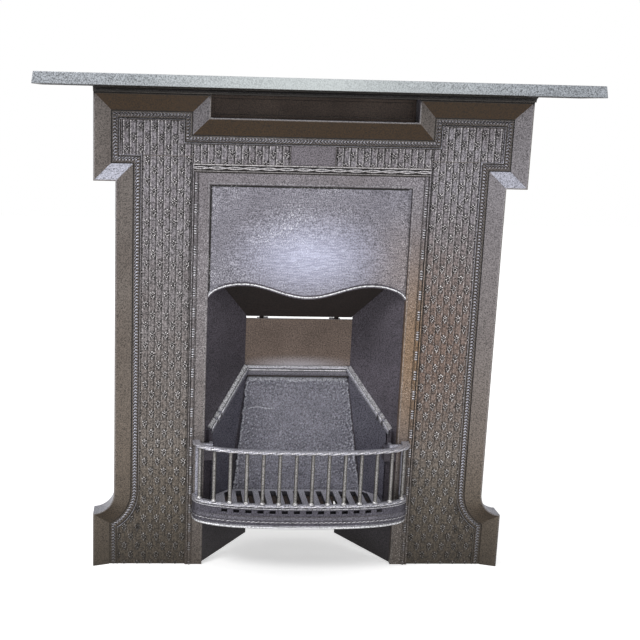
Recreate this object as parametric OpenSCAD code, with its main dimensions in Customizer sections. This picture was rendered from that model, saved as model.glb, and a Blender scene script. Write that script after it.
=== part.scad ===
// Cast iron fireplace: a bevelled surround with ears and curved feet, a mantel shelf, and inside
// them an insert with a hood, splayed cheeks, firebrick, damper, bottom grate and bowed basket.
// Origin: floor level, midway across and midway between front and back. +X is to the right,
// +Y goes back to the wall, +Z is up. Depths are measured back from the surround's proud rim.

/* [Surround] */
// Width of each jamb, from the insert's edge to the side of the body
jamb_w = 143; // [137:1:150]
// How far the ears and the feet stand out past the body at each side
ear_out = 39; // [24:1:60]
// Height of the surround's head, from the top of the insert to the top of the ears
head_h = 136; // [117:1:190]
// Height of the ears
ear_h = 154; // [130:1:180]
// Width of the notch between the ears
notch_w = 370; // [330:1:400]
// Height of the notch between the ears
notch_h = 40; // [30:1:48]
// Height at which the foot's curve meets the body's side
foot_top = 147; // [130:1:180]
// Depth from the proud rim back to the wall
wall_depth = 38; // [34:1:50]
// Wall of the castings
metal = 5; // [4:0.5:5.5]
// Width of the flat rim in front of the bevel
rim_w = 3; // [2:0.5:5]
// Width of the rim and bevel together
bevel_w = 30.4; // [24:0.2:32]
// Depth of the bevel, from the rim to its foot
bevel_depth = 9; // [7:0.5:11]
// Step from the bevel's foot down to the panel
panel_step = 1; // [0.5:0.1:1.5]
// Distance from the bevel's foot to the raised line round the panel
border_w = 14; // [10:1:18]
// Width of the raised line round the panel
line_w = 2; // [1.5:0.1:3]
// Width of the blank plate in the frieze
plate_w = 80; // [60:1:120]
// Height of the blank plate in the frieze
plate_h = 36; // [24:1:36]

/* [Shelf] */
// Width of the mantel shelf
shelf_w = 973; // [880:1:1050]
// Height of the shelf's edge
shelf_h = 20; // [18:0.5:28]
// How far the shelf's front edge stands out from the rim
shelf_out = 82; // [75:1:120]
// How far the shelf's edge leans in at the top
shelf_lean = 2.5; // [1:0.5:5]
// Height of the cove moulding under the shelf
cove_h = 9.5; // [8:0.5:16]
// How far the cove moulding stands out from the rim
cove_out = 15; // [12:1:30]

/* [Insert] */
// Width of the insert's face, inside the surround's moulding
insert_w = 416; // [400:1:430]
// Height of the insert's face
insert_h = 748; // [742:1:756]
// Depth of the insert's face behind the rim
insert_front = 8; // [6:0.5:9]
// Thickness of the insert's back flange
flange_t = 5; // [4:0.5:6]
// Width of the surround's moulding beside the insert
moulding_w = 7; // [5:0.5:10]
// How far that moulding stands out from the panel
moulding_out = 3; // [2:0.5:4]
// Width of the mouth of the fire
mouth_w = 366; // [360:1:368]
// Height of the mouth and hood together
mouth_h = 727; // [720:1:732]
// Fitting gap round the insert and the hood plate
fitting_gap = 0.5; // [0.3:0.1:1]

/* [Hood] */
// Depth of the hood plate's face behind the rim
hood_front = 12; // [10:0.5:13]
// Height of the hood's lower edge at the middle
hood_middle_z = 521; // [510:1:530]
// Rise of the hood's lower edge from the middle to its crests
hood_rise = 23.5; // [10:0.5:30]
// Fall of the hood's lower edge from its crests to the sides
hood_fall = 30; // [15:0.5:36]
// Distance of each crest from the middle
crest_x = 118; // [100:1:130]
// Height of the rolled lip along the hood's lower edge
lip_h = 7; // [5:0.5:9]
// How far the rolled lip stands out from the hood
lip_out = 5; // [3:0.5:7]
// Height at which the hood's fixing flange starts
hood_flange_z = 600; // [596:1:620]

/* [Firebox] */
// Width across the cheeks' inner faces at the upper back panel
back_w = 206; // [190:1:216]
// Depth of the upper back panel behind the rim
upper_back_depth = 103; // [96:1:110]
// Depth of the cheeks' rear edge below the back ledge
lower_back_depth = 116; // [112:1:122]
// Height of the top of the upper back panel
upper_back_top = 465; // [450:1:475]
// Height of the top of the back ledge
ledge_top = 372; // [360:1:385]
// Height of the back ledge
ledge_h = 22; // [18:1:26]
// Height of the side ledges where their line meets the mouth
side_ledge_z = 259; // [252:1:266]
// Width of the side ledges, out from the cheeks
side_ledge_w = 8; // [6:0.5:9]
// Thickness of the side linings under their ledges
lining_t = 3; // [2:0.5:4]
// Rise of the cheeks' lower edge at the back
wing_rise = 20; // [0:1:40]
// Depth of the firebrick's face at its foot
brick_foot_depth = 71; // [69:1:75]
// Depth of the firebrick's face at its knee
brick_knee_depth = 84; // [79:1:88]
// Height of the firebrick's knee
brick_knee_z = 210; // [180:1:240]
// Depth of the firebrick's face at its top
brick_top_depth = 104; // [99:1:108]
// Depth of the firebrick's back
brick_back_depth = 140; // [132:1:160]

/* [Grate] */
// Height of the bottom grate's underside
grate_z = 120; // [117:1:123]
// Thickness of the bottom grate
grate_t = 10; // [8:1:12]
// Width of the grate in front of the mouth
grate_w = 316; // [300:1:318]
// How far the grate's bowed front stands out from the rim
grate_out = 42; // [30:1:44]
// Distance from one grate bar to the next
grate_pitch = 22.5; // [18:0.5:26]
// Width of each slot between the grate bars
slot_w = 11; // [8:0.5:13]
// Thickness of the grate's bearers
bearer_t = 8; // [6:0.5:10]
// Height of the lower edge of the ash guard under the rear bearer
guard_low = 26; // [22:1:40]

/* [Basket] */
// Width of the basket across its top rail
basket_w = 411; // [404:1:412]
// How far the top rail bows out from the rim
top_bow = 65; // [62:1:72]
// How far the middle rail bows out from the rim
mid_bow = 57; // [56:0.5:58]
// How far the bottom lip bows out from the rim
lip_bow = 60; // [58:1:62]
// Squareness of the bow in plan
bow_power = 2.5; // [2.2:0.1:2.8]
// Height of the top face of the top rail
basket_top = 251; // [246:1:256]
// Thickness of the top rail
top_rail_t = 6; // [5:0.5:8]
// Width of the top rail
top_rail_w = 15; // [14:0.5:17]
// Height of the top face of the middle rail
mid_rail_top = 145; // [142:1:150]
// Thickness of the middle rail
mid_rail_t = 8; // [6:0.5:9]
// Width of the middle rail and the bottom lip
low_rail_w = 12; // [11:0.5:13]
// Height of the underside of the bottom lip
basket_foot = 100; // [96:1:102]
// Thickness of the bottom lip
foot_rail_t = 6; // [5:0.5:8]
// Number of round bars
bar_count = 14; // [10:2:14]
// Distance from bar to bar, along the bow
bar_pitch = 30.3; // [28:0.1:31]
// Radius of the bars
bar_r = 3.2; // [2.5:0.1:4]
// Radius of the nub at each bar's foot
nub_r = 4.4; // [4:0.1:4.5]
// Height of the nub at each bar's foot
nub_h = 7; // [4:0.5:10]
// Number of air holes in the apron
vent_count = 14; // [8:2:18]
// Distance from one air hole to the next
vent_pitch = 22.5; // [20:0.5:23]
// Width of each air hole
vent_w = 11.5; // [6:0.5:12]
// Height of each air hole
vent_h = 6.5; // [4:0.5:8]
// Gap between the basket and the insert's face
basket_gap = 0.5; // [0.3:0.1:1]
// Lean of the hooks' tongues, and of the way that the basket lifts off
lift_lean = 30; // [25:1:35]
// Length of each hook's tongue
tongue_len = 26; // [20:1:28]

/* [Damper] */
// Angle of the closed damper above level
flap_rise = 51.5; // [48:0.5:55]
// How far the closed damper lies over each cheek's top edge
flap_rest = 3; // [1:0.5:5]
// Thickness of the damper
flap_t = 4; // [3:0.5:5]
// Radius of the damper's hinge pin
pin_r = 3; // [2.5:0.1:3.5]
// Running clearance round the hinge pin
pin_gap = 0.05; // [0.02:0.01:0.08]

/* [Fastenings] */
// Radius of the bolts
bolt_r = 3; // [2.5:0.1:3]
// Radius of the bolts' hexagon heads, across the corners
bolt_head_r = 5.8; // [5:0.1:6]
// Thickness of the bolt heads
bolt_head_h = 4; // [3:0.1:5]
// Clearance round a bolt in a plain hole
bolt_gap = 0.4; // [0.2:0.1:0.6]
// Radius of the holes in the wall lugs
wall_hole_r = 4.5; // [3:0.1:5]
// How far the wall fixings stand in from the sides of the body
wall_fix_in = 25; // [23:1:36]
// How far the upper wall fixings are below the top of the ears
wall_fix_down = 26; // [24:1:32]
// Height of the lower wall fixings
wall_fix_low = 190; // [180:1:300]

/* [Hidden] */
$fn = 48;
snug = 0.05;               // radial room of a screw in its tapped hole
eps = 0.01;

// surround
body_w = insert_w + 2 * jamb_w;
surround_w = body_w + 2 * ear_out;
surround_h = insert_h + head_h;
wall_fix_x = body_w - 2 * wall_fix_in;
wall_fix_top = surround_h - wall_fix_down;
foot_lip = 2;              // how far the foot's curve would run past the foot's side
foot_r = (surround_w - body_w) / 2 + foot_lip;
arc_steps = 16;
panel_front = bevel_depth + panel_step;
panel_back = panel_front + metal;
panel_lap = 3;             // how far the panel runs on behind the bevel
panel_foot = 0.5;          // height of the panel's lower edge off the floor
line_out = 1.2;            // height of the raised line
plate_out = 1;             // how far the blank plate stands out
plate_gap = 1;             // gap between the blank plate and the moulding
lug_w = 36;
lug_h = 34;

// shelf
shelf_z = surround_h + cove_h;
shelf_top = shelf_z + shelf_h;
shelf_plate = 6;
cove_nose = 2;             // flat edge above the cove
boss_r = 9;
shelf_bolt_x = [notch_w / 2 + 40, surround_w / 2 - 40];
shelf_bolt_y = wall_depth / 2;
recess_depth = wall_depth - 10;
recess_border = 6;
recess_bead = 2;

// insert
frame_back = panel_back + flange_t;
flange_lap = 17;           // how far the insert's flange laps behind the surround
insert_bolt_x = insert_w / 2 + flange_lap / 2 + 1;
insert_bolt_z = [100, 400, 700];
mouth_x = mouth_w / 2;

// hood
hood_x = mouth_x - fitting_gap;
hood_top = mouth_h - fitting_gap;
hood_lap = 14;             // how far the hood's flange laps behind the insert
hood_flange_t = 4;
hood_back = frame_back + hood_flange_t;
hood_bolt_x = mouth_x + hood_lap / 2 + 2;
hood_bolt_z = [hood_flange_z + 40, mouth_h - 30];
hood_steps = 48;

// firebox: a cheek is drawn flat, along its own line, and then turned into place
back_x = back_w / 2;
cheek_run = [back_x - mouth_x, upper_back_depth - frame_back];
cheek_angle = atan2(cheek_run.y, cheek_run.x);
upper_run = norm(cheek_run);
splay = -cheek_run.x / cheek_run.y;
lower_run = upper_run * (lower_back_depth - frame_back) / (upper_back_depth - frame_back);
ledge_foot = ledge_top - ledge_h;
cheek_flange_w = 22;
cheek_flange_top = 560;
cheek_bolt_x = mouth_x + cheek_flange_w - 8;
cheek_bolt_z = [60, 300, 530];
rear_flange_w = 24;
back_bolt_x = back_x + 15;
back_bolt_z = [395, 440];
strap_h = 24;
strap_t = 3;
strap_z = [150, 290];
brick_x = cheek_x(lower_back_depth) - fitting_gap;
strap_leg_x = brick_x + 0.3;
strap_bolt_x = strap_leg_x + strap_t + 15;
socket_depth = 32;
socket_x = mouth_x - 23;
socket_foot = 210;
socket_top = 236;
ledge_front = 24.5;        // depth at which the side ledges start, on the sockets' risers
ledge_joint = 31;          // depth of the joint between a riser and its lining
side_ledge_h = 14;
ledge_end = upper_run - 1;

// grate
grate_back = brick_foot_depth - 3;
grate_side_gap = 2;
grate_rim = 9;
bearer_z = grate_z - bearer_t;

// basket
basket_back = insert_front - basket_gap;
bow_steps = 48;
apron_t = 4;
apron_high = mid_rail_top - mid_rail_t;
apron_low = basket_foot + foot_rail_t;
vent_z = apron_high - vent_h - 2.5;
post_w = 8;
post_x = basket_w / 2 - top_rail_w + 0.5;
hook_h = 7;
hook_z = basket_top - top_rail_t - hook_h;
hook_w = 6;
hook_t = 5;
hook_x = socket_x + 7;
hook_reach = 16;
slot_gap = 0.4;
low_half = basket_w / 2 - 1;
apron_half = low_half - 1;
bar_half = low_half - low_rail_w / 2;
bar_bow = mid_bow - 4.5;
bar_foot = mid_rail_top;
bar_length = basket_top - top_rail_t - mid_rail_top;

// damper
eye_r = 6;
flap_axis_y = upper_back_depth + metal + eye_r + 0.5;
flap_axis_z = upper_back_top - 4.5;
eye_x = 60;
eye_w = 8;
eye_gap = 1;
eye_arm = 20;
flap_start = 12;
flap_end = (flap_axis_y - hood_front - metal - 1) / cos(flap_rise) - flap_t / 2;
flap_seat_gap = 0.3;       // gap between the closed damper and the cheeks' top edges
pin_head_r = 5;
pin_head_t = 3;

row_shift = (shelf_out - brick_back_depth - strap_t) / 2;

// ---- shared shapes ----

function mirrored(path) = [for (i = [len(path) - 1:-1:0]) [-path[i].x, path[i].y]];
function backwards(path) = [for (i = [len(path) - 1:-1:0]) path[i]];

// Half width between the cheeks' inner faces at a depth behind the rim
function cheek_x(depth) = back_x + (upper_back_depth - depth) * splay;

// Outline of the surround from the right foot round to the left foot, moved inwards by inset
function outline(inset) =
    let (
        r = foot_r + inset,
        foot_angle = 180 + acos((foot_lip + inset) / r),
        centre = [body_w / 2 + foot_r, foot_top],
        curve = [for (i = [0:arc_steps])
            let (a = foot_angle + (180 - foot_angle) * i / arc_steps) centre + r * [cos(a), sin(a)]],
        wide = surround_w / 2 - inset,
        ear_foot = surround_h - ear_h + inset,
        top = surround_h - inset,
        half = concat(
            [[wide, 0]], curve,
            [[body_w / 2 - inset, ear_foot], [wide, ear_foot], [wide, top],
             [notch_w / 2 + inset, top], [notch_w / 2 + inset, surround_h - notch_h - inset]])
    )
    concat(half, mirrored(half));

// Carries a section of [inset, depth] points round the outline, cut flat at the floor
module outline_loft(section) {
    rings = [for (s = section) [for (p = outline(s[0])) [p.x, s[1], p.y]]];
    n = len(rings[0]);
    m = len(section);
    sides = [for (k = [0:m - 1], i = [0:n - 2]) let (a = k * n + i, b = (k + 1) % m * n + i)
        each [[a, b + 1, a + 1], [a, b, b + 1]]];
    first = [for (k = [m - 1:-1:0]) k * n];
    last = [for (k = [0:m - 1]) k * n + n - 1];
    polyhedron([for (r = rings) each r], concat(sides, [first, last]));
}

// Extrudes a shape drawn in X and Z, from one depth back by a thickness
module slab(depth, thickness) {
    translate([0, depth + thickness, 0]) rotate([90, 0, 0]) linear_extrude(thickness) children();
}

// Extrudes a section drawn in depth and height along X
module along_x(length) {
    translate([-length / 2, 0, 0]) rotate([90, 0, 90]) linear_extrude(length) children();
}

// A rectangle centred across, from one height up to another
module upright(w, low, high) {
    translate([-w / 2, low]) square([w, high - low]);
}

module in_place() {
    translate([0, row_shift, 0]) children();
}

module both_sides() {
    children();
    mirror([1, 0, 0]) children();
}

// A hexagon bolt whose head bears on the face at depth, with its shank running forwards
module bolt_forwards(x, depth, z, length) {
    translate([x, depth, z]) rotate([90, 0, 0]) {
        cylinder(r = bolt_r, h = length);
        translate([0, 0, -bolt_head_h]) cylinder(r = bolt_head_r, h = bolt_head_h, $fn = 6);
    }
}

module hole_forwards(x, depth, z, length, room) {
    translate([x, depth + eps, z]) rotate([90, 0, 0]) cylinder(r = bolt_r + room, h = length + eps);
}

// ---- surround and shelf ----

// The flat panel behind the bevel, with its raised line, its moulding and its blank plate
module surround_panel() {
    frame_top = insert_h + 2 * moulding_w;
    difference() {
        union() {
            slab(panel_front, metal) polygon(outline(bevel_w - panel_lap));
            outline_loft([
                [bevel_w + border_w, panel_front + 1], [bevel_w + border_w, panel_front - line_out],
                [bevel_w + border_w + line_w, panel_front - line_out],
                [bevel_w + border_w + line_w, panel_front + 1]]);
            slab(panel_front - moulding_out, moulding_out + 1)
                upright(insert_w + 2 * moulding_w, 0, frame_top);
            slab(panel_front - plate_out, plate_out + 1)
                upright(plate_w, frame_top + plate_gap, frame_top + plate_gap + plate_h);
        }
        slab(0, wall_depth) upright(insert_w, -1, insert_h);
        slab(0, wall_depth) upright(surround_w, -1, panel_foot);
    }
}

module surround() {
    lug_x = wall_fix_x / 2 - lug_w / 2;
    color("dimgray") in_place() difference() {
        union() {
            outline_loft([
                [0, wall_depth], [0, 0], [rim_w, 0], [bevel_w, bevel_depth],
                [bevel_w, bevel_depth + metal], [metal, metal], [metal, wall_depth]]);
            surround_panel();
            both_sides() {
                translate([lug_x, wall_depth - metal, wall_fix_low - lug_h / 2])
                    cube([body_w / 2 - 1 - lug_x, metal, lug_h]);
                translate([lug_x, wall_depth - metal, wall_fix_top - lug_h / 2])
                    cube([lug_w, metal, surround_h - 1 - wall_fix_top + lug_h / 2]);
            }
        }
        both_sides() {
            for (z = [wall_fix_low, wall_fix_top])
                translate([wall_fix_x / 2, wall_depth + 1, z]) rotate([90, 0, 0])
                    cylinder(r = wall_hole_r, h = metal + 2);
            for (x = shelf_bolt_x)
                translate([x, shelf_bolt_y, surround_h - metal - 1])
                    cylinder(r = bolt_r + bolt_gap, h = metal + 2);
            for (z = insert_bolt_z) hole_forwards(insert_bolt_x, panel_back, z, metal - 1.5, snug);
        }
    }
}

module recess_panel() {
    low = surround_h - notch_h;
    wide = notch_w - 2 * fitting_gap;
    color("#2b2a2c") in_place() {
        slab(recess_depth, metal) upright(wide, low, surround_h);
        slab(recess_depth - recess_bead, recess_bead + 1) difference() {
            upright(wide, low, surround_h);
            upright(wide - 2 * recess_border, low + recess_border, surround_h - recess_border);
        }
    }
}

module shelf_cove() {
    r = cove_h - cove_nose;
    curve = [for (i = [0:8]) let (a = 90 - i * 90 / 8) [r * cos(a) - cove_out, surround_h + r * sin(a)]];
    color("#3a3837") in_place() difference() {
        along_x(surround_w) polygon(concat(
            [[wall_depth, surround_h], [wall_depth, shelf_z], [-cove_out, shelf_z]], curve));
        both_sides() for (x = shelf_bolt_x)
            translate([x, shelf_bolt_y, surround_h - 1]) cylinder(r = bolt_r + bolt_gap, h = cove_h + 2);
    }
}

module mantel_shelf() {
    deep = shelf_out + wall_depth;
    color("#8f8e97") in_place() difference() {
        union() {
            difference() {
                hull() {
                    translate([-shelf_w / 2, -shelf_out, shelf_z]) cube([shelf_w, deep, 1]);
                    translate([shelf_lean - shelf_w / 2, shelf_lean - shelf_out, shelf_top - 1])
                        cube([shelf_w - 2 * shelf_lean, deep - shelf_lean, 1]);
                }
                translate([shelf_plate - shelf_w / 2, shelf_plate - shelf_out, shelf_z - 1])
                    cube([shelf_w - 2 * shelf_plate, deep - 2 * shelf_plate, shelf_h - shelf_plate + 1]);
            }
            both_sides() for (x = shelf_bolt_x)
                translate([x, shelf_bolt_y, shelf_z]) cylinder(r = boss_r, h = shelf_h - 1);
        }
        both_sides() for (x = shelf_bolt_x)
            translate([x, shelf_bolt_y, shelf_z - 1]) cylinder(r = bolt_r + snug, h = 13);
    }
}

module shelf_bolts() {
    color("#4a4a4c") in_place() both_sides() for (x = shelf_bolt_x)
        translate([x, shelf_bolt_y, surround_h - metal]) {
            cylinder(r = bolt_r, h = metal + cove_h + 10);
            translate([0, 0, -bolt_head_h]) cylinder(r = bolt_head_r, h = bolt_head_h, $fn = 6);
        }
}

// ---- insert and hood ----

module insert_frame() {
    face_w = insert_w - 2 * fitting_gap;
    color("#5c5b60") in_place() difference() {
        union() {
            slab(insert_front, frame_back - insert_front)
                upright(face_w, 0, insert_h - fitting_gap);
            slab(panel_back, flange_t)
                upright(insert_w + 2 * flange_lap, 0, insert_h + flange_lap);
        }
        slab(insert_front - 1, frame_back - insert_front + 2) upright(mouth_w, -1, mouth_h);
        both_sides() {
            for (z = insert_bolt_z) hole_forwards(insert_bolt_x, frame_back, z, flange_t + 1, bolt_gap);
            for (z = hood_bolt_z) hole_forwards(hood_bolt_x, frame_back, z, flange_t, snug);
            for (z = cheek_bolt_z) hole_forwards(cheek_bolt_x, frame_back, z, flange_t, snug);
        }
    }
}

module insert_bolts() {
    color("#4a4a4c") in_place() both_sides() for (z = insert_bolt_z)
        bolt_forwards(insert_bolt_x, frame_back, z, flange_t + metal - 1.6);
}

// Height of the hood's lower edge: a wave out to the crests, then a quarter round to the jambs
function hood_edge(x) =
    let (a = abs(x), past = min(1, (a - crest_x) / (mouth_x - crest_x + 1)))
    a < crest_x
        ? hood_middle_z + hood_rise * (1 - cos(180 * a / crest_x)) / 2
        : hood_middle_z + hood_rise - hood_fall * (1 - sqrt(1 - past * past));

function hood_line(up) = [for (i = [0:hood_steps])
    let (x = hood_x * (2 * i / hood_steps - 1)) [x, hood_edge(x) + up]];

module hood_plate() {
    color("#74737d") in_place() difference() {
        union() {
            slab(hood_front, metal) polygon(concat(hood_line(0), [[hood_x, hood_top], [-hood_x, hood_top]]));
            slab(hood_front - lip_out, lip_out + metal) polygon(concat(hood_line(0), backwards(hood_line(lip_h))));
            slab(hood_front, hood_back - hood_front) difference() {
                upright(2 * hood_x, hood_flange_z, hood_top);
                upright(2 * (hood_x - metal), hood_flange_z - 1, hood_top - metal);
            }
            slab(frame_back, hood_flange_t) difference() {
                upright(mouth_w + 2 * hood_lap, hood_flange_z, mouth_h + hood_lap);
                upright(2 * (hood_x - metal), hood_flange_z - 1, hood_top - metal);
            }
        }
        both_sides() for (z = hood_bolt_z)
            hole_forwards(hood_bolt_x, hood_back, z, hood_flange_t + 1, bolt_gap);
    }
}

module hood_bolts() {
    color("#4a4a4c") in_place() both_sides() for (z = hood_bolt_z)
        bolt_forwards(hood_bolt_x, hood_back, z, hood_flange_t + flange_t - 0.5);
}

// ---- firebox ----

// Stands a shape drawn along the right cheek's line and up, facing into the fire
module on_cheek(inward, thickness) {
    translate([mouth_x, frame_back, 0]) rotate([0, 0, cheek_angle])
        translate([0, inward, 0]) rotate([90, 0, 0]) linear_extrude(thickness) children();
}

// Height of the closed damper's underside at a place along the cheek's line
function flap_under(run) =
    let (depth = frame_back + run * cheek_run.y / upper_run)
    flap_axis_z + (flap_axis_y - depth) * tan(flap_rise) - flap_t / 2 / cos(flap_rise) - flap_seat_gap;

module right_cheek_shape() {
    difference() {
        union() {
            on_cheek(0, metal) polygon([
                [0, 0], [lower_run + metal, wing_rise], [lower_run + metal, ledge_foot],
                [upper_run + metal, ledge_foot], [upper_run + metal, flap_under(upper_run) + 4],
                [0, flap_under(0) + 4]]);
            translate([mouth_x, frame_back, 30])
                cube([cheek_flange_w, metal, cheek_flange_top - 30]);
            translate([back_x + metal, upper_back_depth - metal, ledge_top + 10])
                cube([rear_flange_w - metal, metal, upper_back_top - ledge_top - 14]);
            translate([cheek_x(lower_back_depth - metal) + 1, lower_back_depth - metal, 60])
                cube([rear_flange_w, metal, ledge_foot - 75]);
        }
        translate([0, flap_axis_y, flap_axis_z]) rotate([-flap_rise, 0, 0])
            translate([0, -surround_h, -flap_t / 2 - flap_seat_gap]) cube(surround_h);
        translate([0, upper_back_depth, ledge_foot]) cube(surround_h);
        translate([0, lower_back_depth, -1]) cube(surround_h);
        for (z = cheek_bolt_z)
            hole_forwards(cheek_bolt_x, frame_back + metal, z, metal + 1, bolt_gap);
        for (z = back_bolt_z) hole_forwards(back_bolt_x, upper_back_depth, z, metal + 1, snug);
        for (z = strap_z)
            hole_forwards(strap_bolt_x, lower_back_depth, z + strap_h / 2, metal + 1, snug);
    }
}

module right_cheek() {
    color("#3c3a42") in_place() right_cheek_shape();
}

module left_cheek() {
    color("#3c3a42") in_place() mirror([1, 0, 0]) right_cheek_shape();
}

module cheek_bolts() {
    color("#4a4a4c") in_place() both_sides() for (z = cheek_bolt_z)
        bolt_forwards(cheek_bolt_x, frame_back + metal, z, metal + flange_t - 0.5);
}

// Depth of the firebrick's face at a height
function brick_face(z) = z < brick_knee_z
    ? brick_foot_depth + (brick_knee_depth - brick_foot_depth) * (z - grate_z) / (brick_knee_z - grate_z)
    : brick_knee_depth + (brick_top_depth - brick_knee_depth) * (z - brick_knee_z) / (ledge_foot - brick_knee_z);

// Place along the cheek's line of a depth behind the rim
function run_at(depth) = (depth - frame_back) * upper_run / (upper_back_depth - frame_back);

// Height of a side ledge's top at a place along the cheek's line
function side_ledge_top(run) = side_ledge_z + (ledge_top - side_ledge_z) * run / ledge_end;

// A plate against the cheek, from the grate up, with a sloping ledge along its top
module right_lining_shape() {
    start = run_at(socket_depth + fitting_gap) + lining_t * splay;
    joint = run_at(ledge_joint);
    on_cheek(lining_t, lining_t) polygon([
        [start, grate_z], [run_at(brick_face(grate_z)) - 1, grate_z],
        [run_at(brick_face(brick_knee_z)) - 1, brick_knee_z], [run_at(brick_top_depth) - 1, ledge_foot],
        [ledge_end, ledge_foot], [ledge_end, ledge_top - 1], [start, side_ledge_top(start) - 1]]);
    on_cheek(side_ledge_w, side_ledge_w) polygon([
        [joint, side_ledge_top(joint) - side_ledge_h], [ledge_end, ledge_top - side_ledge_h],
        [ledge_end, ledge_top], [joint, side_ledge_top(joint)]]);
}

module right_lining() {
    color("#47454d") in_place() right_lining_shape();
}

module left_lining() {
    color("#47454d") in_place() mirror([1, 0, 0]) right_lining_shape();
}

module hinge_eye(x) {
    translate([x, flap_axis_y, flap_axis_z]) rotate([0, 90, 0]) cylinder(r = eye_r, h = eye_w);
}

module pin_hole() {
    translate([-120, flap_axis_y, flap_axis_z]) rotate([0, 90, 0]) cylinder(r = pin_r + pin_gap, h = 240);
}

module upper_back() {
    wide = back_w + 2 * rear_flange_w;
    color("#6b5e50") in_place() difference() {
        union() {
            slab(upper_back_depth, metal) upright(wide, ledge_top, upper_back_top);
            both_sides() {
                hinge_eye(eye_x);
                translate([eye_x, upper_back_depth + 1, flap_axis_z - eye_arm])
                    cube([eye_w, flap_axis_y - upper_back_depth - 1, eye_arm]);
            }
        }
        pin_hole();
        both_sides() for (z = back_bolt_z)
            hole_forwards(back_bolt_x, upper_back_depth + metal, z, metal + 1, bolt_gap);
    }
}

module back_bolts() {
    color("#4a4a4c") in_place() both_sides() for (z = back_bolt_z)
        bolt_forwards(back_bolt_x, upper_back_depth + metal, z, 2 * metal - 0.5);
}

// Half width between the side ledges at a depth behind the rim
function ledge_x(depth) = cheek_x(depth) - side_ledge_w * upper_run / cheek_run.y - fitting_gap;

module back_ledge() {
    front = upper_back_depth - 6;
    back = upper_back_depth + 1;
    color("#55504c") in_place() {
        intersection() {
            along_x(back_w) polygon([
                [front, ledge_foot], [back, ledge_foot], [back, ledge_top], [front + 3, ledge_top]]);
            linear_extrude(ledge_top + 1) polygon([
                [-ledge_x(front), front], [ledge_x(front), front], [ledge_x(back), back],
                [-ledge_x(back), back]]);
        }
        along_x(back_w + 2 * rear_flange_w - 8) polygon([
            [upper_back_depth, ledge_foot], [lower_back_depth + 4, ledge_foot],
            [lower_back_depth + 4, ledge_top], [upper_back_depth, ledge_top]]);
    }
}

module firebrick() {
    narrow = brick_x;
    wide = cheek_x(brick_foot_depth - 2) - fitting_gap;
    color("#77736c") in_place() intersection() {
        translate([0, 0, grate_z]) linear_extrude(ledge_foot - grate_z) polygon([
            [-wide, brick_foot_depth - 2], [wide, brick_foot_depth - 2], [narrow, lower_back_depth],
            [narrow, brick_back_depth], [-narrow, brick_back_depth], [-narrow, lower_back_depth]]);
        along_x(2 * wide + 10) polygon([
            [brick_foot_depth, grate_z], [brick_knee_depth, brick_knee_z], [brick_top_depth, ledge_foot],
            [brick_back_depth, ledge_foot], [brick_back_depth, grate_z]]);
    }
}

module brick_straps() {
    out = strap_leg_x + strap_t;
    color("#4f4b48") in_place() difference() {
        for (z = strap_z) translate([0, 0, z]) linear_extrude(strap_h) both_sides() {
            translate([0, brick_back_depth]) square([out, strap_t]);
            translate([strap_leg_x, lower_back_depth])
                square([strap_t, brick_back_depth - lower_back_depth + strap_t]);
            translate([strap_leg_x, lower_back_depth]) square([rear_flange_w + 2, strap_t]);
        }
        both_sides() for (z = strap_z)
            hole_forwards(strap_bolt_x, lower_back_depth + strap_t, z + strap_h / 2, strap_t + 1, bolt_gap);
    }
}

module strap_bolts() {
    color("#4a4a4c") in_place() both_sides() for (z = strap_z)
        bolt_forwards(strap_bolt_x, lower_back_depth + strap_t, z + strap_h / 2, strap_t + metal - 0.5);
}

// ---- grate and bearers ----

module rear_bearer() {
    front = grate_back - 16;
    color("#3f3d3e") in_place() {
        translate([0, 0, bearer_z]) linear_extrude(bearer_t) polygon([
            [-cheek_x(front), front], [cheek_x(front), front], [cheek_x(lower_back_depth), lower_back_depth],
            [brick_x, lower_back_depth], [brick_x, brick_back_depth], [-brick_x, brick_back_depth],
            [-brick_x, lower_back_depth], [-cheek_x(lower_back_depth), lower_back_depth]]);
        // the guard hangs down behind, so that ash stays under the grate
        translate([-brick_x, brick_back_depth - metal, guard_low])
            cube([2 * brick_x, metal, bearer_z + bearer_t - guard_low]);
    }
}

module front_bearer() {
    color("#3f3d3e") in_place()
        translate([-mouth_x, insert_front - 6, bearer_z]) cube([mouth_w, 16, bearer_t]);
}

// A bow in plan, from right to left round the front: a superellipse
function bow(half, out) = [for (i = [0:bow_steps]) let (t = 180 * i / bow_steps)
    [half * sign(cos(t)) * pow(abs(cos(t)), 2 / bow_power), -out * pow(sin(t), 2 / bow_power)]];

module grate_plan(inset) {
    room = lining_t * upper_run / cheek_run.y + grate_side_gap + inset;
    half = grate_w / 2 - inset;
    back = grate_back - inset;
    bend = upper_back_depth - (half + room - back_x) / splay;
    polygon(concat(
        [[cheek_x(back) - room, back], [half, bend]], bow(half, grate_out - inset),
        [[-half, bend], [room - cheek_x(back), back]]));
}

module bottom_grate() {
    slots = floor(grate_w / 2 / grate_pitch);
    color("#5e5a55") in_place() translate([0, 0, grate_z]) linear_extrude(grate_t) difference() {
        grate_plan(0);
        intersection() {
            grate_plan(grate_rim);
            for (i = [-slots:slots]) translate([i * grate_pitch - slot_w / 2, -100]) square([slot_w, 250]);
        }
    }
}

// ---- basket ----

// A rail that follows a bow and runs straight back to the insert's face
module bow_rail(half, out, wide) {
    polygon(concat(
        [[half, basket_back]], bow(half, out), [[-half, basket_back], [wide - half, basket_back]],
        backwards(bow(half - wide, out - wide)), [[half - wide, basket_back]]));
}

// The point at a distance along a path
function along(path, distance, i = 0) =
    let (step = norm(path[i + 1] - path[i]))
    distance <= step || i >= len(path) - 2
        ? path[i] + (path[i + 1] - path[i]) * distance / step
        : along(path, distance - step, i + 1);

function total(path, i = 0) = i >= len(path) - 1 ? 0 : norm(path[i + 1] - path[i]) + total(path, i + 1);

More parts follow.
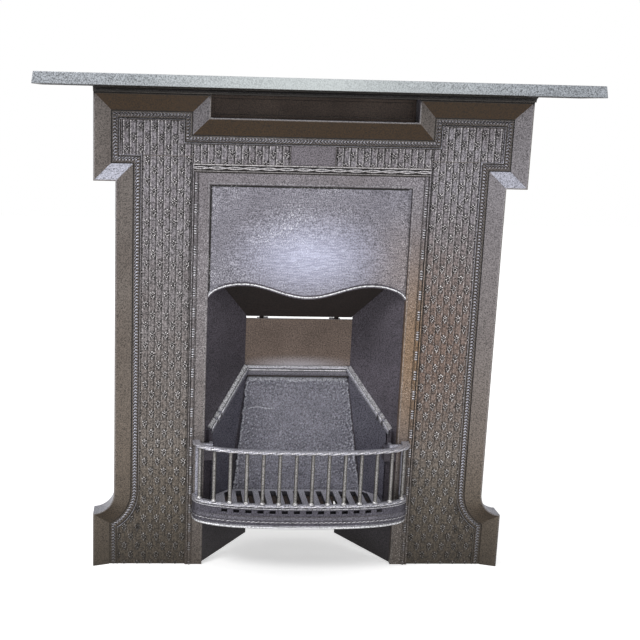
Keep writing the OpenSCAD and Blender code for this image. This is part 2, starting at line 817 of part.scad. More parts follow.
// A point of a bow, at a distance from its middle
function bow_point(half, out, distance) =
    let (path = bow(half, out)) along(path, total(path) / 2 + distance);

module top_rail() {
    color("#5d5f68") in_place() translate([0, 0, basket_top - top_rail_t])
        linear_extrude(top_rail_t) bow_rail(basket_w / 2, top_bow, top_rail_w);
}

module middle_rail() {
    color("#5d5f68") in_place() translate([0, 0, apron_high])
        linear_extrude(mid_rail_t) bow_rail(low_half, mid_bow, low_rail_w);
}

module bottom_lip() {
    color("#6a6c75") in_place() translate([0, 0, basket_foot])
        linear_extrude(foot_rail_t) bow_rail(low_half, lip_bow, low_rail_w);
}

// A flared wall from the lip up to the middle rail, pierced by a row of air holes
module apron() {
    function ring(out, t) = concat([[apron_half - t, basket_back]], bow(apron_half - t, out - t),
        [[t - apron_half, basket_back]]);
    low = lip_bow - 3;
    high = mid_bow - 2;
    n = bow_steps + 3;
    points = concat(
        [for (p = ring(low, 0)) [p.x, p.y, apron_low]], [for (p = ring(high, 0)) [p.x, p.y, apron_high]],
        [for (p = ring(high, apron_t)) [p.x, p.y, apron_high]],
        [for (p = ring(low, apron_t)) [p.x, p.y, apron_low]]);
    sides = [for (k = [0:3], i = [0:n - 2]) let (a = k * n + i, b = (k + 1) % 4 * n + i)
        each [[a, a + 1, b + 1], [a, b + 1, b]]];
    color("#55565e") in_place() difference() {
        polyhedron(points, concat(sides, [[0, n, 2 * n, 3 * n], [4 * n - 1, 3 * n - 1, 2 * n - 1, n - 1]]));
        for (i = [0:vent_count - 1]) {
            distance = (i - (vent_count - 1) / 2) * vent_pitch;
            p = bow_point(apron_half, (low + high) / 2, distance);
            q = bow_point(apron_half, (low + high) / 2, distance + 1);
            translate([p.x, p.y, vent_z]) rotate([0, 0, atan2(q.y - p.y, q.x - p.x)])
                translate([-vent_w / 2, -12, 0]) cube([vent_w, 24, vent_h]);
        }
    }
}

// A round bar with a nub at its foot
module bar() {
    rotate_extrude($fn = 24)
        polygon([[0, 0], [nub_r, 0], [bar_r, nub_h], [bar_r, bar_length], [0, bar_length]]);
}

module basket_bars() {
    color("#7b776c") in_place() for (i = [0:bar_count - 1]) {
        p = bow_point(bar_half, bar_bow, (i - (bar_count - 1) / 2) * bar_pitch);
        translate([p.x, p.y, bar_foot]) bar();
    }
}

module end_posts() {
    color("#67666b") in_place() both_sides()
        translate([post_x, basket_back - post_w, bar_foot])
            cube([post_w, post_w, bar_length]);
}

// The hook's tongue in depth and height: it points down and back, along the way the basket lifts off
module tongue(room) {
    translate([insert_front + 5, hook_z + hook_t / 2]) rotate(lift_lean)
        translate([-hook_t / 2 - room, -tongue_len - room])
            square([hook_t + 2 * room, tongue_len + 2 * room]);
}

module basket_hooks() {
    color("#67666b") in_place() both_sides() {
        translate([hook_x + hook_w / 2, 0, 0]) along_x(hook_w) {
            translate([basket_back - post_w, hook_z]) square([hook_reach, hook_h]);
            tongue(0);
        }
        translate([hook_x + hook_w - 1, basket_back - post_w, hook_z])
            cube([post_x + 1 - hook_x - hook_w, post_w, hook_h]);
    }
}

// A pocket for the hook's tongue, with a riser that carries the front end of the side ledge
module right_socket_shape() {
    front = run_at(ledge_front);
    joint = run_at(ledge_joint) - fitting_gap;
    difference() {
        translate([0, 0, socket_foot]) linear_extrude(socket_top - socket_foot) polygon([
            [socket_x, insert_front + 0.5], [mouth_x, insert_front + 0.5], [mouth_x, frame_back],
            [cheek_x(socket_depth), socket_depth], [socket_x, socket_depth]]);
        translate([hook_x + hook_w / 2, 0, 0]) along_x(hook_w + 2 * slot_gap) tongue(slot_gap);
    }
    on_cheek(side_ledge_w, side_ledge_w) polygon([
        [front, socket_top - 1], [joint, socket_top - 1], [joint, side_ledge_top(joint)],
        [front, side_ledge_top(front)]]);
}

module right_socket() {
    color("#47454d") in_place() right_socket_shape();
}

module left_socket() {
    color("#47454d") in_place() mirror([1, 0, 0]) right_socket_shape();
}

// ---- damper ----

module flap_pin() {
    half = eye_x + 2 * eye_w + eye_gap + 1;
    color("#8a8a8c") in_place() {
        translate([-half, flap_axis_y, flap_axis_z]) rotate([0, 90, 0]) cylinder(r = pin_r, h = 2 * half);
        both_sides() translate([half, flap_axis_y, flap_axis_z]) rotate([0, 90, 0])
            cylinder(r = pin_head_r, h = pin_head_t);
    }
}

// Drawn level, from the hinge forwards, and then raised to its closed angle
module damper_flap() {
    function half_at(run) = cheek_x(flap_axis_y - run * cos(flap_rise)) + flap_rest;
    color("#4a4543") in_place() difference() {
        translate([0, flap_axis_y, flap_axis_z]) rotate([-flap_rise, 0, 0]) union() {
            translate([0, 0, -flap_t / 2]) linear_extrude(flap_t) intersection() {
                polygon([
                    [-half_at(flap_start), -flap_start], [half_at(flap_start), -flap_start],
                    [half_at(flap_end), -flap_end], [-half_at(flap_end), -flap_end]]);
                upright(mouth_w - 4, -flap_end, 0);
            }
            both_sides() translate([eye_x + eye_w + eye_gap, -flap_start - 2, -flap_t / 2])
                cube([eye_w, flap_start + 2, flap_t]);
            both_sides() translate([eye_x + eye_w + eye_gap, 0, 0]) rotate([0, 90, 0])
                cylinder(r = eye_r, h = eye_w);
        }
        pin_hole();
    }
}

surround();
recess_panel();
shelf_cove();
mantel_shelf();
shelf_bolts();
insert_frame();
insert_bolts();
hood_plate();
hood_bolts();
left_cheek();
right_cheek();
cheek_bolts();
left_lining();
right_lining();
upper_back();
back_bolts();
back_ledge();
firebrick();
brick_straps();
strap_bolts();
rear_bearer();
front_bearer();
left_socket();
right_socket();
damper_flap();
flap_pin();
bottom_grate();
top_rail();
middle_rail();
apron();
bottom_lip();
basket_bars();
end_posts();
basket_hooks();
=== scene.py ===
"""Cast iron fireplace: relief, basket, firebrick, finishes, light and camera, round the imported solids.

Lengths are in millimetres and depths are counted back from the surround's rim, so that the room lies at
smaller ones. Finishes and the studio, which Blender reads, are in metres where a comment says so.
"""
import logging
import math
from dataclasses import dataclass
from enum import Enum
from typing import Callable, Sequence

import bmesh
import bpy
import numpy as np
from mathutils import Matrix, Vector


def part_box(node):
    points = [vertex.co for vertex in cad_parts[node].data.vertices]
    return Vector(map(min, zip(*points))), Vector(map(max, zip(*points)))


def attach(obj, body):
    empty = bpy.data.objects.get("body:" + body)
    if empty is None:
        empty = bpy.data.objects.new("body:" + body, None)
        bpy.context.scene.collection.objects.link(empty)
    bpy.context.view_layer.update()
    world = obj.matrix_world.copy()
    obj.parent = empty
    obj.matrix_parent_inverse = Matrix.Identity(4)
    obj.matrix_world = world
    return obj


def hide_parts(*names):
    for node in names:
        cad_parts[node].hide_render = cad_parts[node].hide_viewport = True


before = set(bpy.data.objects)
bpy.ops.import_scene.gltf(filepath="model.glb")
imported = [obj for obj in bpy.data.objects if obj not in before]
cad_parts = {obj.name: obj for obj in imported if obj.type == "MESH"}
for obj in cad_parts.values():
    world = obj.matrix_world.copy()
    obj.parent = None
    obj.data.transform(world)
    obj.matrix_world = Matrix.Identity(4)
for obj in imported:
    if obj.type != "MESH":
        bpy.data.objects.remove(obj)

LOG = logging.getLogger("fireplace")
MM = 0.001
METRE = 1000.0  # millimetres, over which a pattern's real size gives its scale
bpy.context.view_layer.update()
RIM_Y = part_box("surround")[0].y  # the surround's proud rim, from which every depth below is counted
MERGE = 2e-6  # metres, under which two corners of a CAD mesh are one
FLAT = math.radians(0.5)  # under which two faces of a CAD mesh are one plane

Array = np.ndarray
Surface = Callable[[Array, Array, Array], tuple[Array, Array]]
Stops = Sequence[tuple[float, str]]
Tree = bpy.types.NodeTree
Socket = bpy.types.NodeSocket
Sockets = bpy.types.bpy_prop_collection


class Body(Enum):
    """The solids that move together."""

    FIREPLACE = "fireplace"
    DAMPER = "damper"
    GRATE = "grate"
    BASKET = "basket"


class Slot(Enum):
    """The record's material slots."""

    SURROUND = "surround_iron"
    SHELF = "shelf_iron"
    INSERT = "insert_iron"
    HOOD = "hood_iron"
    FIREBOX = "firebox_iron"
    BACK = "back_iron"
    BASKET = "basket_iron"
    BAR = "bar_iron"
    BRICK = "firebrick"
    STEEL = "fixing_steel"


# ---------------------------------------------------------------- meshes


def tubes(points: Array, faces_from: int = 0) -> tuple[Array, list[list[int]]]:
    """Closes rings of points into capped tubes.

    Ring i of tube k is joined to ring i + 1 by one face for each pair of neighbouring points, and the
    first and last rings become end caps. A fourth number of a point is its wear and painted shade: 1 where
    it is pale from rubbed polish and painted highlight, and -1 where it is dark in a hollow and in painted
    shade.

    Args:
        points: Array of tubes x rings x points x 3 or 4, in millimetres.
        faces_from: Number of the first vertex.

    Returns:
        The vertices as rows, and the faces.
    """
    k, m, n, _ = points.shape
    index = np.arange(k * m * n).reshape(k, m, n) + faces_from
    nxt = np.roll(index, -1, axis=2)
    quads = np.stack([index[:, :-1], nxt[:, :-1], nxt[:, 1:], index[:, 1:]], axis=-1).reshape(-1, 4)
    caps = np.concatenate([index[:, 0, ::-1], index[:, -1]])
    if points.shape[-1] == 3:
        points = np.concatenate([points, np.zeros((*points.shape[:-1], 1))], axis=-1)
    return points.reshape(-1, 4), quads.tolist() + caps.tolist()


def wear_and_shade_as(part: Array, wear_and_shade: float) -> Array:
    """The same tubes, with one value of wear and painted shade all over."""
    return np.concatenate([part[..., :3], np.full((*part.shape[:-1], 1), wear_and_shade)], axis=-1)


def mirrored(part: Array) -> Array:
    """The same tubes on the other side of the fireplace's middle."""
    return part * np.array([-1.0, 1.0, 1.0, 1.0])[: part.shape[-1]]


def local_relief(height: Array, reach: int, gain: float) -> Array:
    """Wear and painted shade of each point of a relief: its height above the mean of its neighbourhood, times
    the gain.

    Args:
        height: Relief, columns x rows.
        reach: Half the neighbourhood's width, in grid steps.
        gain: Wear and painted shade for each millimetre.

    Returns:
        The wear and painted shade, between -1 and 1.
    """
    mean = height
    for axis in (0, 1):
        pad = [(0, 0), (0, 0)]
        pad[axis] = (reach + 1, reach)
        total = np.cumsum(np.pad(mean, pad, mode="edge"), axis=axis)
        size = mean.shape[axis]
        upper = np.take(total, range(2 * reach + 1, 2 * reach + 1 + size), axis=axis)
        mean = (upper - np.take(total, range(0, size), axis=axis)) / (2 * reach + 1)
    return np.clip((height - mean) * gain, -1, 1)


def along_path(path: Array, section: Array) -> Array:
    """Carries a section along a path that lies in one vertical plane facing the room.

    A section point (a, b) sits a to the left of the path's direction and b towards the room.

    Args:
        path: Stations x 2, as X and height.
        section: Points x 2.

    Returns:
        Array of 1 x stations x points x 3.
    """
    tangent = np.gradient(path, axis=0)
    tangent /= np.linalg.norm(tangent, axis=1, keepdims=True)
    normal = np.stack([-tangent[:, 1], tangent[:, 0]], axis=1)
    flat = path[:, None, :] + normal[:, None, :] * section[None, :, :1]
    depth = np.broadcast_to(section[None, :, 1], flat.shape[:2])
    return np.stack([flat[..., 0], depth, flat[..., 1]], axis=-1)[None]


def half_round(width: float, low: float, high: float, count: int = 7) -> Array:
    """A half round's section, as across and depth: half an ellipse from the back's depth to the crown's."""
    a = np.linspace(0, np.pi, count)
    return np.stack([-np.cos(a) * width / 2, low + (high - low) * np.sin(a)], axis=1)


def flat_strip(width: float, low: float, high: float, edge: float = 0.25) -> Array:
    """A flat fillet's section, with its two front corners cut off.

    Args:
        width: Width of the fillet.
        low: Depth of its back.
        high: Depth of its face.
        edge: Size of the cut corners.

    Returns:
        Points x 2, as distance across and depth.
    """
    half = width / 2
    right = [(half - edge, high), (half, high + edge), (half, low)]
    left = [(-across, depth) for across, depth in reversed(right)]
    return np.array(left + right)


def circle(count: int) -> Array:
    """Angles at even steps once round, in radians."""
    return np.linspace(0, 2 * np.pi, count + 1)[:-1]


def resampled(path: Array, step: float) -> tuple[Array, Array, Array]:
    """Places stations along a polyline at even steps, keeping its corners.

    Args:
        path: Corners x 2.
        step: Distance between stations.

    Returns:
        For each station its segment's number, its share of that segment, and its distance from the start.
    """
    lengths = np.linalg.norm(np.diff(path, axis=0), axis=1)
    counts = np.maximum(1, np.ceil(lengths / step)).astype(int)
    segment = np.repeat(np.arange(len(lengths)), counts)
    starts = np.repeat(np.cumsum(counts) - counts, counts)
    share = (np.arange(counts.sum()) - starts) / counts[segment]
    segment = np.append(segment, len(lengths) - 1)
    share = np.append(share, 1.0)
    reached = np.concatenate([[0.0], np.cumsum(lengths)])
    return segment, share, reached[segment] + share * lengths[segment]


def evenly(path: Array, step: float) -> tuple[Array, Array]:
    """Places points along a polyline at even steps.

    Args:
        path: Corners x 2.
        step: Distance between points, near enough.

    Returns:
        The points, and the distance of each from the start.
    """
    reach = np.concatenate([[0], np.cumsum(np.linalg.norm(np.diff(path, axis=0), axis=1))])
    run = np.linspace(0, reach[-1], max(3, int(reach[-1] / step)))
    return np.stack([np.interp(run, reach, path[:, k]) for k in (0, 1)], axis=1), run


def rope(angle: Array, run: Array, radius: float, pitch: float, strands: int = 3) -> Array:
    """Radius of a twisted rope: a fifth of it swells as a cosine over each strand, which winds on."""
    wound = angle - 2 * np.pi * run / pitch / strands
    return radius * (0.80 + 0.20 * np.abs(np.cos(strands / 2 * wound)))


def wobble(x: Array, y: Array, seed: int, size: float, octaves: int = 3) -> Array:
    """Smooth unevenness between about -1 and 1, from seeded random heights on square lattices.

    Each octave takes the four lattice heights round a point, weighted by the smooth step of its place in
    the square; the squares are turned and halved from one octave to the next, and so is their share.

    Args:
        x: First coordinate.
        y: Second coordinate.
        seed: Number that fixes the heights.
        size: Side of the largest squares.
        octaves: Number of lattices.

    Returns:
        The unevenness at each point.
    """
    count, shift = 128, 200  # points of a lattice each way, and a shift that keeps clear of its corner
    draw = np.random.default_rng(seed)
    total = np.zeros(np.broadcast(x, y).shape)
    for k in range(octaves):
        heights = draw.uniform(-1, 1, (count, count))
        turn = 0.6 + 1.1 * k
        u = (x * math.cos(turn) + y * math.sin(turn)) / size * 2**k + shift
        v = (y * math.cos(turn) - x * math.sin(turn)) / size * 2**k + shift
        i, j = np.floor(u).astype(int), np.floor(v).astype(int)
        f, g = u - i, v - j
        f, g = f * f * (3 - 2 * f), g * g * (3 - 2 * g)
        i, j, i_next, j_next = i % count, j % count, (i + 1) % count, (j + 1) % count
        near = heights[i, j] * (1 - f) + heights[i_next, j] * f
        far = heights[i, j_next] * (1 - f) + heights[i_next, j_next] * f
        total += (near * (1 - g) + far * g) * 0.55**k
    return total


class Finish:
    """A surface finish, named for its material and how its surface was made."""

    name: str

    def material(self) -> bpy.types.Material:
        """Gives the finish's material, made the first time it is asked for.

        Returns:
            The material.
        """
        found = bpy.data.materials.get(self.name)
        if found:
            return found
        made = bpy.data.materials.new(self.name)
        made.use_nodes = True
        made.node_tree.nodes.clear()
        shader = self.shader(made.node_tree)
        add(made.node_tree, "ShaderNodeOutputMaterial", {"Surface": shader.outputs["BSDF"]})
        return made

    def shader(self, tree: Tree) -> bpy.types.Node:
        """Lays the finish into a node tree and returns its shader."""
        raise NotImplementedError


def make_piece(
    name: str,
    parts: Sequence[Array],
    finish: Finish,
    replaces: Sequence[str] = (),
    body: Body = Body.FIREPLACE,
    smooth: float = 40.0,
) -> bpy.types.Object:
    """Builds one object from arrays of tubes, and gives it its finish and its body.

    Args:
        name: Name of the piece.
        parts: Arrays of tubes x rings x points x 3 or 4, in millimetres, with depths behind the rim.
        finish: Its finish.
        replaces: CAD nodes that it stands for.
        body: The body that it moves with.
        smooth: Angle in degrees up to which neighbouring faces shade as one.

    Returns:
        The object.
    """
    points: list[Array] = []
    faces: list[list[int]] = []
    total = 0
    for part in parts:
        part_points, part_faces = tubes(part, total)
        points.append(part_points)
        faces += part_faces
        total += len(part_points)
    rows = np.concatenate(points)
    places = rows[:, :3] * MM
    places[:, 1] += RIM_Y
    mesh = bpy.data.meshes.new(name)
    mesh.from_pydata(places.tolist(), [], faces)
    mesh.attributes.new("wear_and_shade", "FLOAT", "POINT").data.foreach_set("value", rows[:, 3].astype(np.float32))
    turn_outwards(mesh)
    mesh.shade_smooth()
    mesh.set_sharp_from_angle(angle=math.radians(smooth))
    return place(bpy.data.objects.new(name, mesh), finish, body, replaces)


def turn_outwards(mesh: bpy.types.Mesh) -> None:
    """Makes every face of closed shells point outwards.

    Args:
        mesh: The mesh, changed in place.
    """
    work = bmesh.new()
    work.from_mesh(mesh)
    bmesh.ops.recalc_face_normals(work, faces=work.faces)
    work.to_mesh(mesh)
    work.free()


def place(
    piece: bpy.types.Object, finish: Finish, body: Body, replaces: Sequence[str]
) -> bpy.types.Object:
    """Links a piece, gives it its finish, and says what it rides on and stands for.

    Args:
        piece: The object.
        finish: Its finish.
        body: The body that it moves with.
        replaces: CAD nodes that it stands for.

    Returns:
        The same object.
    """
    bpy.context.scene.collection.objects.link(piece)
    piece.data.materials.clear()
    piece.data.materials.append(finish.material())
    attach(piece, body.value)
    if replaces:
        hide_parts(*replaces)
    LOG.info("%s: %d faces", piece.name, len(piece.data.polygons))
    return piece


def soften(
    node: str,
    finish: Finish,
    edge: float = 0.6,
    body: Body = Body.FIREPLACE,
    sharp: float = 28.0,
) -> bpy.types.Object:
    """Stands a copy of a CAD node in its place, with its edges rounded as a casting's are.

    Args:
        node: The CAD node.
        finish: Its finish.
        edge: Width of the rounded edges, in millimetres, or 0 to leave them.
        body: The body that it moves with.
        sharp: Angle in degrees from which an edge is one, and is rounded.

    Returns:
        The copy.
    """
    work = bmesh.new()
    work.from_mesh(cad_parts[node].data)
    bmesh.ops.remove_doubles(work, verts=work.verts, dist=MERGE)
    bmesh.ops.dissolve_limit(
        work, angle_limit=FLAT, verts=work.verts, edges=work.edges, use_dissolve_boundaries=False
    )
    mesh = bpy.data.meshes.new(node + "_cast")
    work.to_mesh(mesh)
    work.free()
    mesh.shade_smooth()
    mesh.set_sharp_from_angle(angle=math.radians(sharp))
    piece = place(bpy.data.objects.new(node + "_cast", mesh), finish, body, [node])
    if edge:
        bevel = piece.modifiers.new("edge", "BEVEL")
        bevel.width = edge * MM
        bevel.segments = 2
        bevel.limit_method = "ANGLE"
        bevel.angle_limit = math.radians(sharp)
        bevel.use_clamp_overlap = True
        bevel.harden_normals = False
    return piece


# ---------------------------------------------------------------- finishes


def linear(hex_colour: str) -> tuple[float, float, float, float]:
    """An sRGB hex colour as linear red, green, blue and full opacity, by the sRGB curve."""
    parts = [int(hex_colour[i : i + 2], 16) / 255 for i in (1, 3, 5)]
    return (*(c / 12.92 if c <= 0.04045 else ((c + 0.055) / 1.055) ** 2.4 for c in parts), 1.0)


def add(
    tree: Tree, kind: str, links: dict | None = None, stops: Stops = (), **settings: object
) -> bpy.types.Node:
    """Adds a node with its settings and links.

    Args:
        tree: The node tree.
        kind: The node's type.
        links: Input name or number to an output socket, or to a plain value.
        stops: Places and hex colours of a colour ramp, from low to high.
        settings: The node's own properties.

    Returns:
        The node.
    """
    node = tree.nodes.new(kind)
    for key, value in settings.items():
        setattr(node, key, value)
    for key, value in (links or {}).items():
        if isinstance(value, Socket):
            tree.links.new(value, node.inputs[key])
        else:
            node.inputs[key].default_value = value
    if stops:
        elements = node.color_ramp.elements
        while len(elements) < len(stops):
            elements.new(0.5)
        for element, (position, colour) in zip(elements, stops):
            element.position = position
            element.color = linear(colour)
    return node


def tinted(
    tree: Tree, colour: object, tint: str, source: Socket, start: float, full: float, share: float = 1.0
) -> Socket:
    """Lays a tint over a colour, more of it the nearer a value comes to its full place.

    Args:
        tree: The node tree.
        colour: The colour underneath, a socket or a plain colour.
        tint: The tint's hex colour.
        source: The value that says where the tint lies.
        start: Value at which it starts.
        full: Value from which it is at its strongest.
        share: How much of the tint that is, up to 1.

    Returns:
        The tinted colour.
    """
    links = {"Value": source, "From Min": start, "From Max": full, "To Max": share}
    amount = add(tree, "ShaderNodeMapRange", links).outputs["Result"]
    links = {"Factor": amount, 6: colour, 7: linear(tint)}
    return add(tree, "ShaderNodeMix", links, data_type="RGBA").outputs[2]


def darkened(tree: Tree, colour: Socket, source: Socket, stops: Stops, share: object) -> Socket:
    """Multiplies a colour by greys that follow a pattern, which darkens it in specks or streaks.

    Args:
        tree: The node tree.
        colour: The colour underneath.
        source: The pattern.
        stops: The greys, by the pattern's value.
        share: How much of the darkening is laid, a socket or a number up to 1.

    Returns:
        The darkened colour.
    """
    greys = add(tree, "ShaderNodeValToRGB", {"Fac": source}, stops).outputs["Color"]
    links = {"Factor": share, 6: colour, 7: greys}
    return add(tree, "ShaderNodeMix", links, data_type="RGBA", blend_type="MULTIPLY").outputs[2]


def nearness(tree: Tree, at: Socket, spot: Sequence[float], size: float, flat: float) -> Socket:
    """How near a point is to a spot: 1 at the spot, falling smoothly to 0 at the size.

    Args:
        tree: The node tree.
        at: The point.
        spot: The spot, in metres.
        size: Half the width of the region, in metres.
        flat: How many times wider than high the region is.

    Returns:
        The nearness.
    """
    off = add(tree, "ShaderNodeVectorMath", {0: at, 1: spot}, operation="SUBTRACT").outputs["Vector"]
    links = {0: off, 1: (1.0, 1.0, flat)}
    scaled = add(tree, "ShaderNodeVectorMath", links, operation="MULTIPLY").outputs["Vector"]
    away = add(tree, "ShaderNodeVectorMath", {0: scaled}, operation="LENGTH").outputs["Value"]
    links = {"Value": away, "From Min": size, "From Max": 0.0}
    return add(tree, "ShaderNodeMapRange", links, interpolation_type="SMOOTHSTEP").outputs["Result"]


@dataclass(frozen=True)
class CastIron(Finish):
    """Grey cast iron, sand cast and black-leaded: a soft metal sheen over a fine sandy grain.

    Faces that look up are painted pale as the sky's reflection, and faces that look down brown and dark as
    shade. Crests are pale where the polish is rubbed and hollows dark where it is thick, and both are also
    painted highlight and shade.
    """

    name: str
    body: str  # the polish over most of the piece
    dark: str  # the polish where it is thick
    up: str  # faces that look up, painted pale as the sky's reflection
    down: str  # faces that look down, painted brown and dark as shade
    metallic: float = 0.5  # black lead is graphite in wax, so the sheen is only half a metal's
    roughness: float = 0.42
    grain: float = 1.1  # millimetres; real moulding sand is finer, and this is as fine as shows
    harsh: float = 0.35  # how strongly the grains differ from light to dark
    patch: float = 140.0  # millimetres, the size of patches in the polish
    relief: float = 0.5  # strength of the grain
    # shares of the painted sky reflection on faces that look up and of the painted shade on faces that look
    # down
    up_share: float = 0.85
    down_share: float = 0.85
    tilt: float = 0.34  # upward part of the normal at which a face counts as looking up
    crest: str = "#e2e0e4"  # crests, pale from rubbed polish and as a painted highlight
    hollow: str = "#2a231c"  # hollows, dark from thick polish and as painted shade
    low: str = ""  # browner lower down, and darker there as painted shade near the floor, if the piece has it
    hearth: str = ""  # painted shade next to the hearth, if the piece has it
    left: str = ""  # bluer on faces that look to the left, painted as the light from that side, if the piece has it
    glow: str = ""  # paler round a spot, a painted highlight, if the piece has one
    glow_at: tuple[float, float, float] = (0.0, 0.0, 0.0)
    glow_size: float = 0.12  # metres
    glow_flat: float = 1.0  # how many times wider than high the paler spot is
    spark: float = 0.0  # share of bright grains where the polish is thin, painted white as glints
    brush: float = 0.0  # strength of fine level streaks left by the brush
    streak: float = 18.18  # millimetres, a streak's length; a bristle's own line is too fine to show
    stain: str = ""  # browned by heat round a spot, if the piece is
    stain_at: tuple[float, float, float] = (0.215, -0.1, 0.44)
    stain_size: float = 0.24  # metres
    stain_flat: float = 0.8  # how many times wider than high the stain is

    def shader(self, tree: Tree) -> bpy.types.Node:
        """Lays the polish in patches, tints it by place and wear, paints light and shade by which way it
        faces, and puts the grain over it.

        Args:
            tree: The node tree.

        Returns:
            The shader.
        """
        spot = add(tree, "ShaderNodeTexCoord").outputs
        at = spot["Object"]
        height = add(tree, "ShaderNodeSeparateXYZ", {"Vector": at}).outputs["Z"]
        turned = add(tree, "ShaderNodeSeparateXYZ", {"Vector": spot["Normal"]}).outputs
        links = {"Vector": at, "Scale": METRE / self.patch, "Detail": 5.0, "Roughness": 0.6}
        patches = add(tree, "ShaderNodeTexNoise", links).outputs["Fac"]
        links = {"Vector": at, "Scale": METRE / (self.grain * 2), "Detail": 3.0, "Roughness": 0.65}
        grain = add(tree, "ShaderNodeTexNoise", links).outputs["Fac"]
        colour = tinted(tree, linear(self.dark), self.body, patches, 0.34, 0.66)  # a noise keeps near a half
        colour, even = self.by_place(tree, colour, at, height, turned)
        colour = self.by_wear(tree, colour, height, turned["Z"])
        colour = self.by_grain(tree, colour, at, grain, patches, even)
        low, high = self.roughness - 0.06, self.roughness + 0.08
        links = {"Value": patches, "From Min": 0.3, "From Max": 0.7, "To Min": high, "To Max": low}
        rough = add(tree, "ShaderNodeMapRange", links).outputs["Result"]
        links = {"Height": grain, "Strength": self.relief, "Distance": self.grain * MM * 0.4}
        bump = add(tree, "ShaderNodeBump", links).outputs["Normal"]
        links = {"Base Color": colour, "Metallic": self.metallic, "Roughness": rough, "Normal": bump}
        return add(tree, "ShaderNodeBsdfPrincipled", links)

    def by_place(
        self, tree: Tree, colour: Socket, at: Socket, height: Socket, turned: Sockets
    ) -> tuple[Socket, object]:
        """Makes the polish bluer to the left and paler round a spot, both painted light, browner lower down,
        partly painted shade, and stained where the piece is.

        Args:
            tree: The node tree.
            colour: The polish so far.
            at: The point.
            height: Its height above the hearth, in metres.
            turned: The three parts of the normal.

        Returns:
            The colour, and how much of the grain shows: all of it, or less under the painted highlight.
        """
        # bluer on faces that look to the left, painted as the light from that side
        if self.left:
            colour = tinted(tree, colour, self.left, turned["X"], -0.1, -0.6, 0.65)
        # browner lower down, and darker there as painted shade near the floor
        if self.low:
            colour = tinted(tree, colour, self.low, height, 0.72, 0.12)
        if self.stain:
            near = nearness(tree, at, self.stain_at, self.stain_size, self.stain_flat)
            colour = tinted(tree, colour, self.stain, near, 0.0, 1.0)
        if not self.glow:
            return colour, 1.0
        # a painted highlight round the spot, on faces that look at the room, with less grain under it
        near = nearness(tree, at, self.glow_at, self.glow_size, self.glow_flat)
        links = {"Value": turned["Y"], "From Min": 0.1, "From Max": -0.2}
        front = add(tree, "ShaderNodeMapRange", links).outputs["Result"]
        near = add(tree, "ShaderNodeMath", {0: near, 1: front}, operation="MULTIPLY").outputs["Value"]
        links = {"Value": near, "To Min": 1.0, "To Max": 0.3}
        even = add(tree, "ShaderNodeMapRange", links).outputs["Result"]
        return tinted(tree, colour, self.glow, near, 0.0, 1.0), even

    def by_wear(self, tree: Tree, colour: Socket, height: Socket, upward: Socket) -> Socket:
        """Paints faces that look up pale and faces that look down dark, as sky reflection and shade, makes
        crests pale and hollows dark by wear and painted light, and paints shade by the hearth.

        Args:
            tree: The node tree.
            colour: The polish so far.
            height: Height above the hearth, in metres.
            upward: The upward part of the normal.

        Returns:
            The colour.
        """
        wear_and_shade = add(tree, "ShaderNodeAttribute", attribute_name="wear_and_shade").outputs["Fac"]
        # faces that look up painted pale as the sky's reflection, and faces that look down painted dark as
        # shade
        colour = tinted(tree, colour, self.up, upward, 0.08, self.tilt, self.up_share)
        colour = tinted(tree, colour, self.down, upward, -0.08, -self.tilt, self.down_share)
        # crests pale and hollows dark: wear, and painted highlight and shade
        colour = tinted(tree, colour, self.crest, wear_and_shade, 0.08, 1.0)
        colour = tinted(tree, colour, self.hollow, wear_and_shade, -0.08, -1.0)
        # painted shade next to the hearth
        if self.hearth:
            colour = tinted(tree, colour, self.hearth, height, 0.22, 0.0, 0.85)
        return colour

    def by_grain(
        self, tree: Tree, colour: Socket, at: Socket, grain: Socket, patches: Socket, even: object
    ) -> Socket:
        """Lets the sandy grain, the brush's streaks and bright bare grains show, the grains painted white as
        glints.

        Args:
            tree: The node tree.
            colour: The polish so far.
            at: The point.
            grain: The grain's pattern.
            patches: The patches' pattern.
            even: How much of the grain shows.

        Returns:
            The colour.
        """
        sand = (0.34, "#8c8c8c"), (0.5, "#e2e2e2"), (0.62, "#ffffff")
        colour = darkened(tree, colour, grain, sand, even)
        harsh = add(tree, "ShaderNodeMath", {0: even, 1: self.harsh}, operation="MULTIPLY").outputs["Value"]
        pores = (0.4, "#707070"), (0.47, "#c8c8c8"), (0.58, "#ffffff")
        colour = darkened(tree, colour, grain, pores, harsh)
        if self.brush:
            links = {0: at, 1: (1.0, 1.0, 9.0)}  # nine times as long as high
            level = add(tree, "ShaderNodeVectorMath", links, operation="MULTIPLY").outputs["Vector"]
            links = {"Vector": level, "Scale": METRE / self.streak, "Detail": 3.0}
            streaks = add(tree, "ShaderNodeTexNoise", links).outputs["Fac"]
            colour = darkened(tree, colour, streaks, ((0.38, "#c4c4c8"), (0.62, "#ffffff")), self.brush)
        # white grains painted as glints where the polish is thin
        if self.spark:
            links = {"Value": grain, "From Min": 0.58, "From Max": 0.66, "To Max": self.spark}
            bright = add(tree, "ShaderNodeMapRange", links).outputs["Result"]
            links = {"Value": patches, "From Min": 0.47, "From Max": 0.6}
            thin = add(tree, "ShaderNodeMapRange", links).outputs["Result"]
            share = add(tree, "ShaderNodeMath", {0: bright, 1: thin}, operation="MULTIPLY").outputs["Value"]
            colour = tinted(tree, colour, "#ffffff", share, 0.0, 1.0)
        return colour


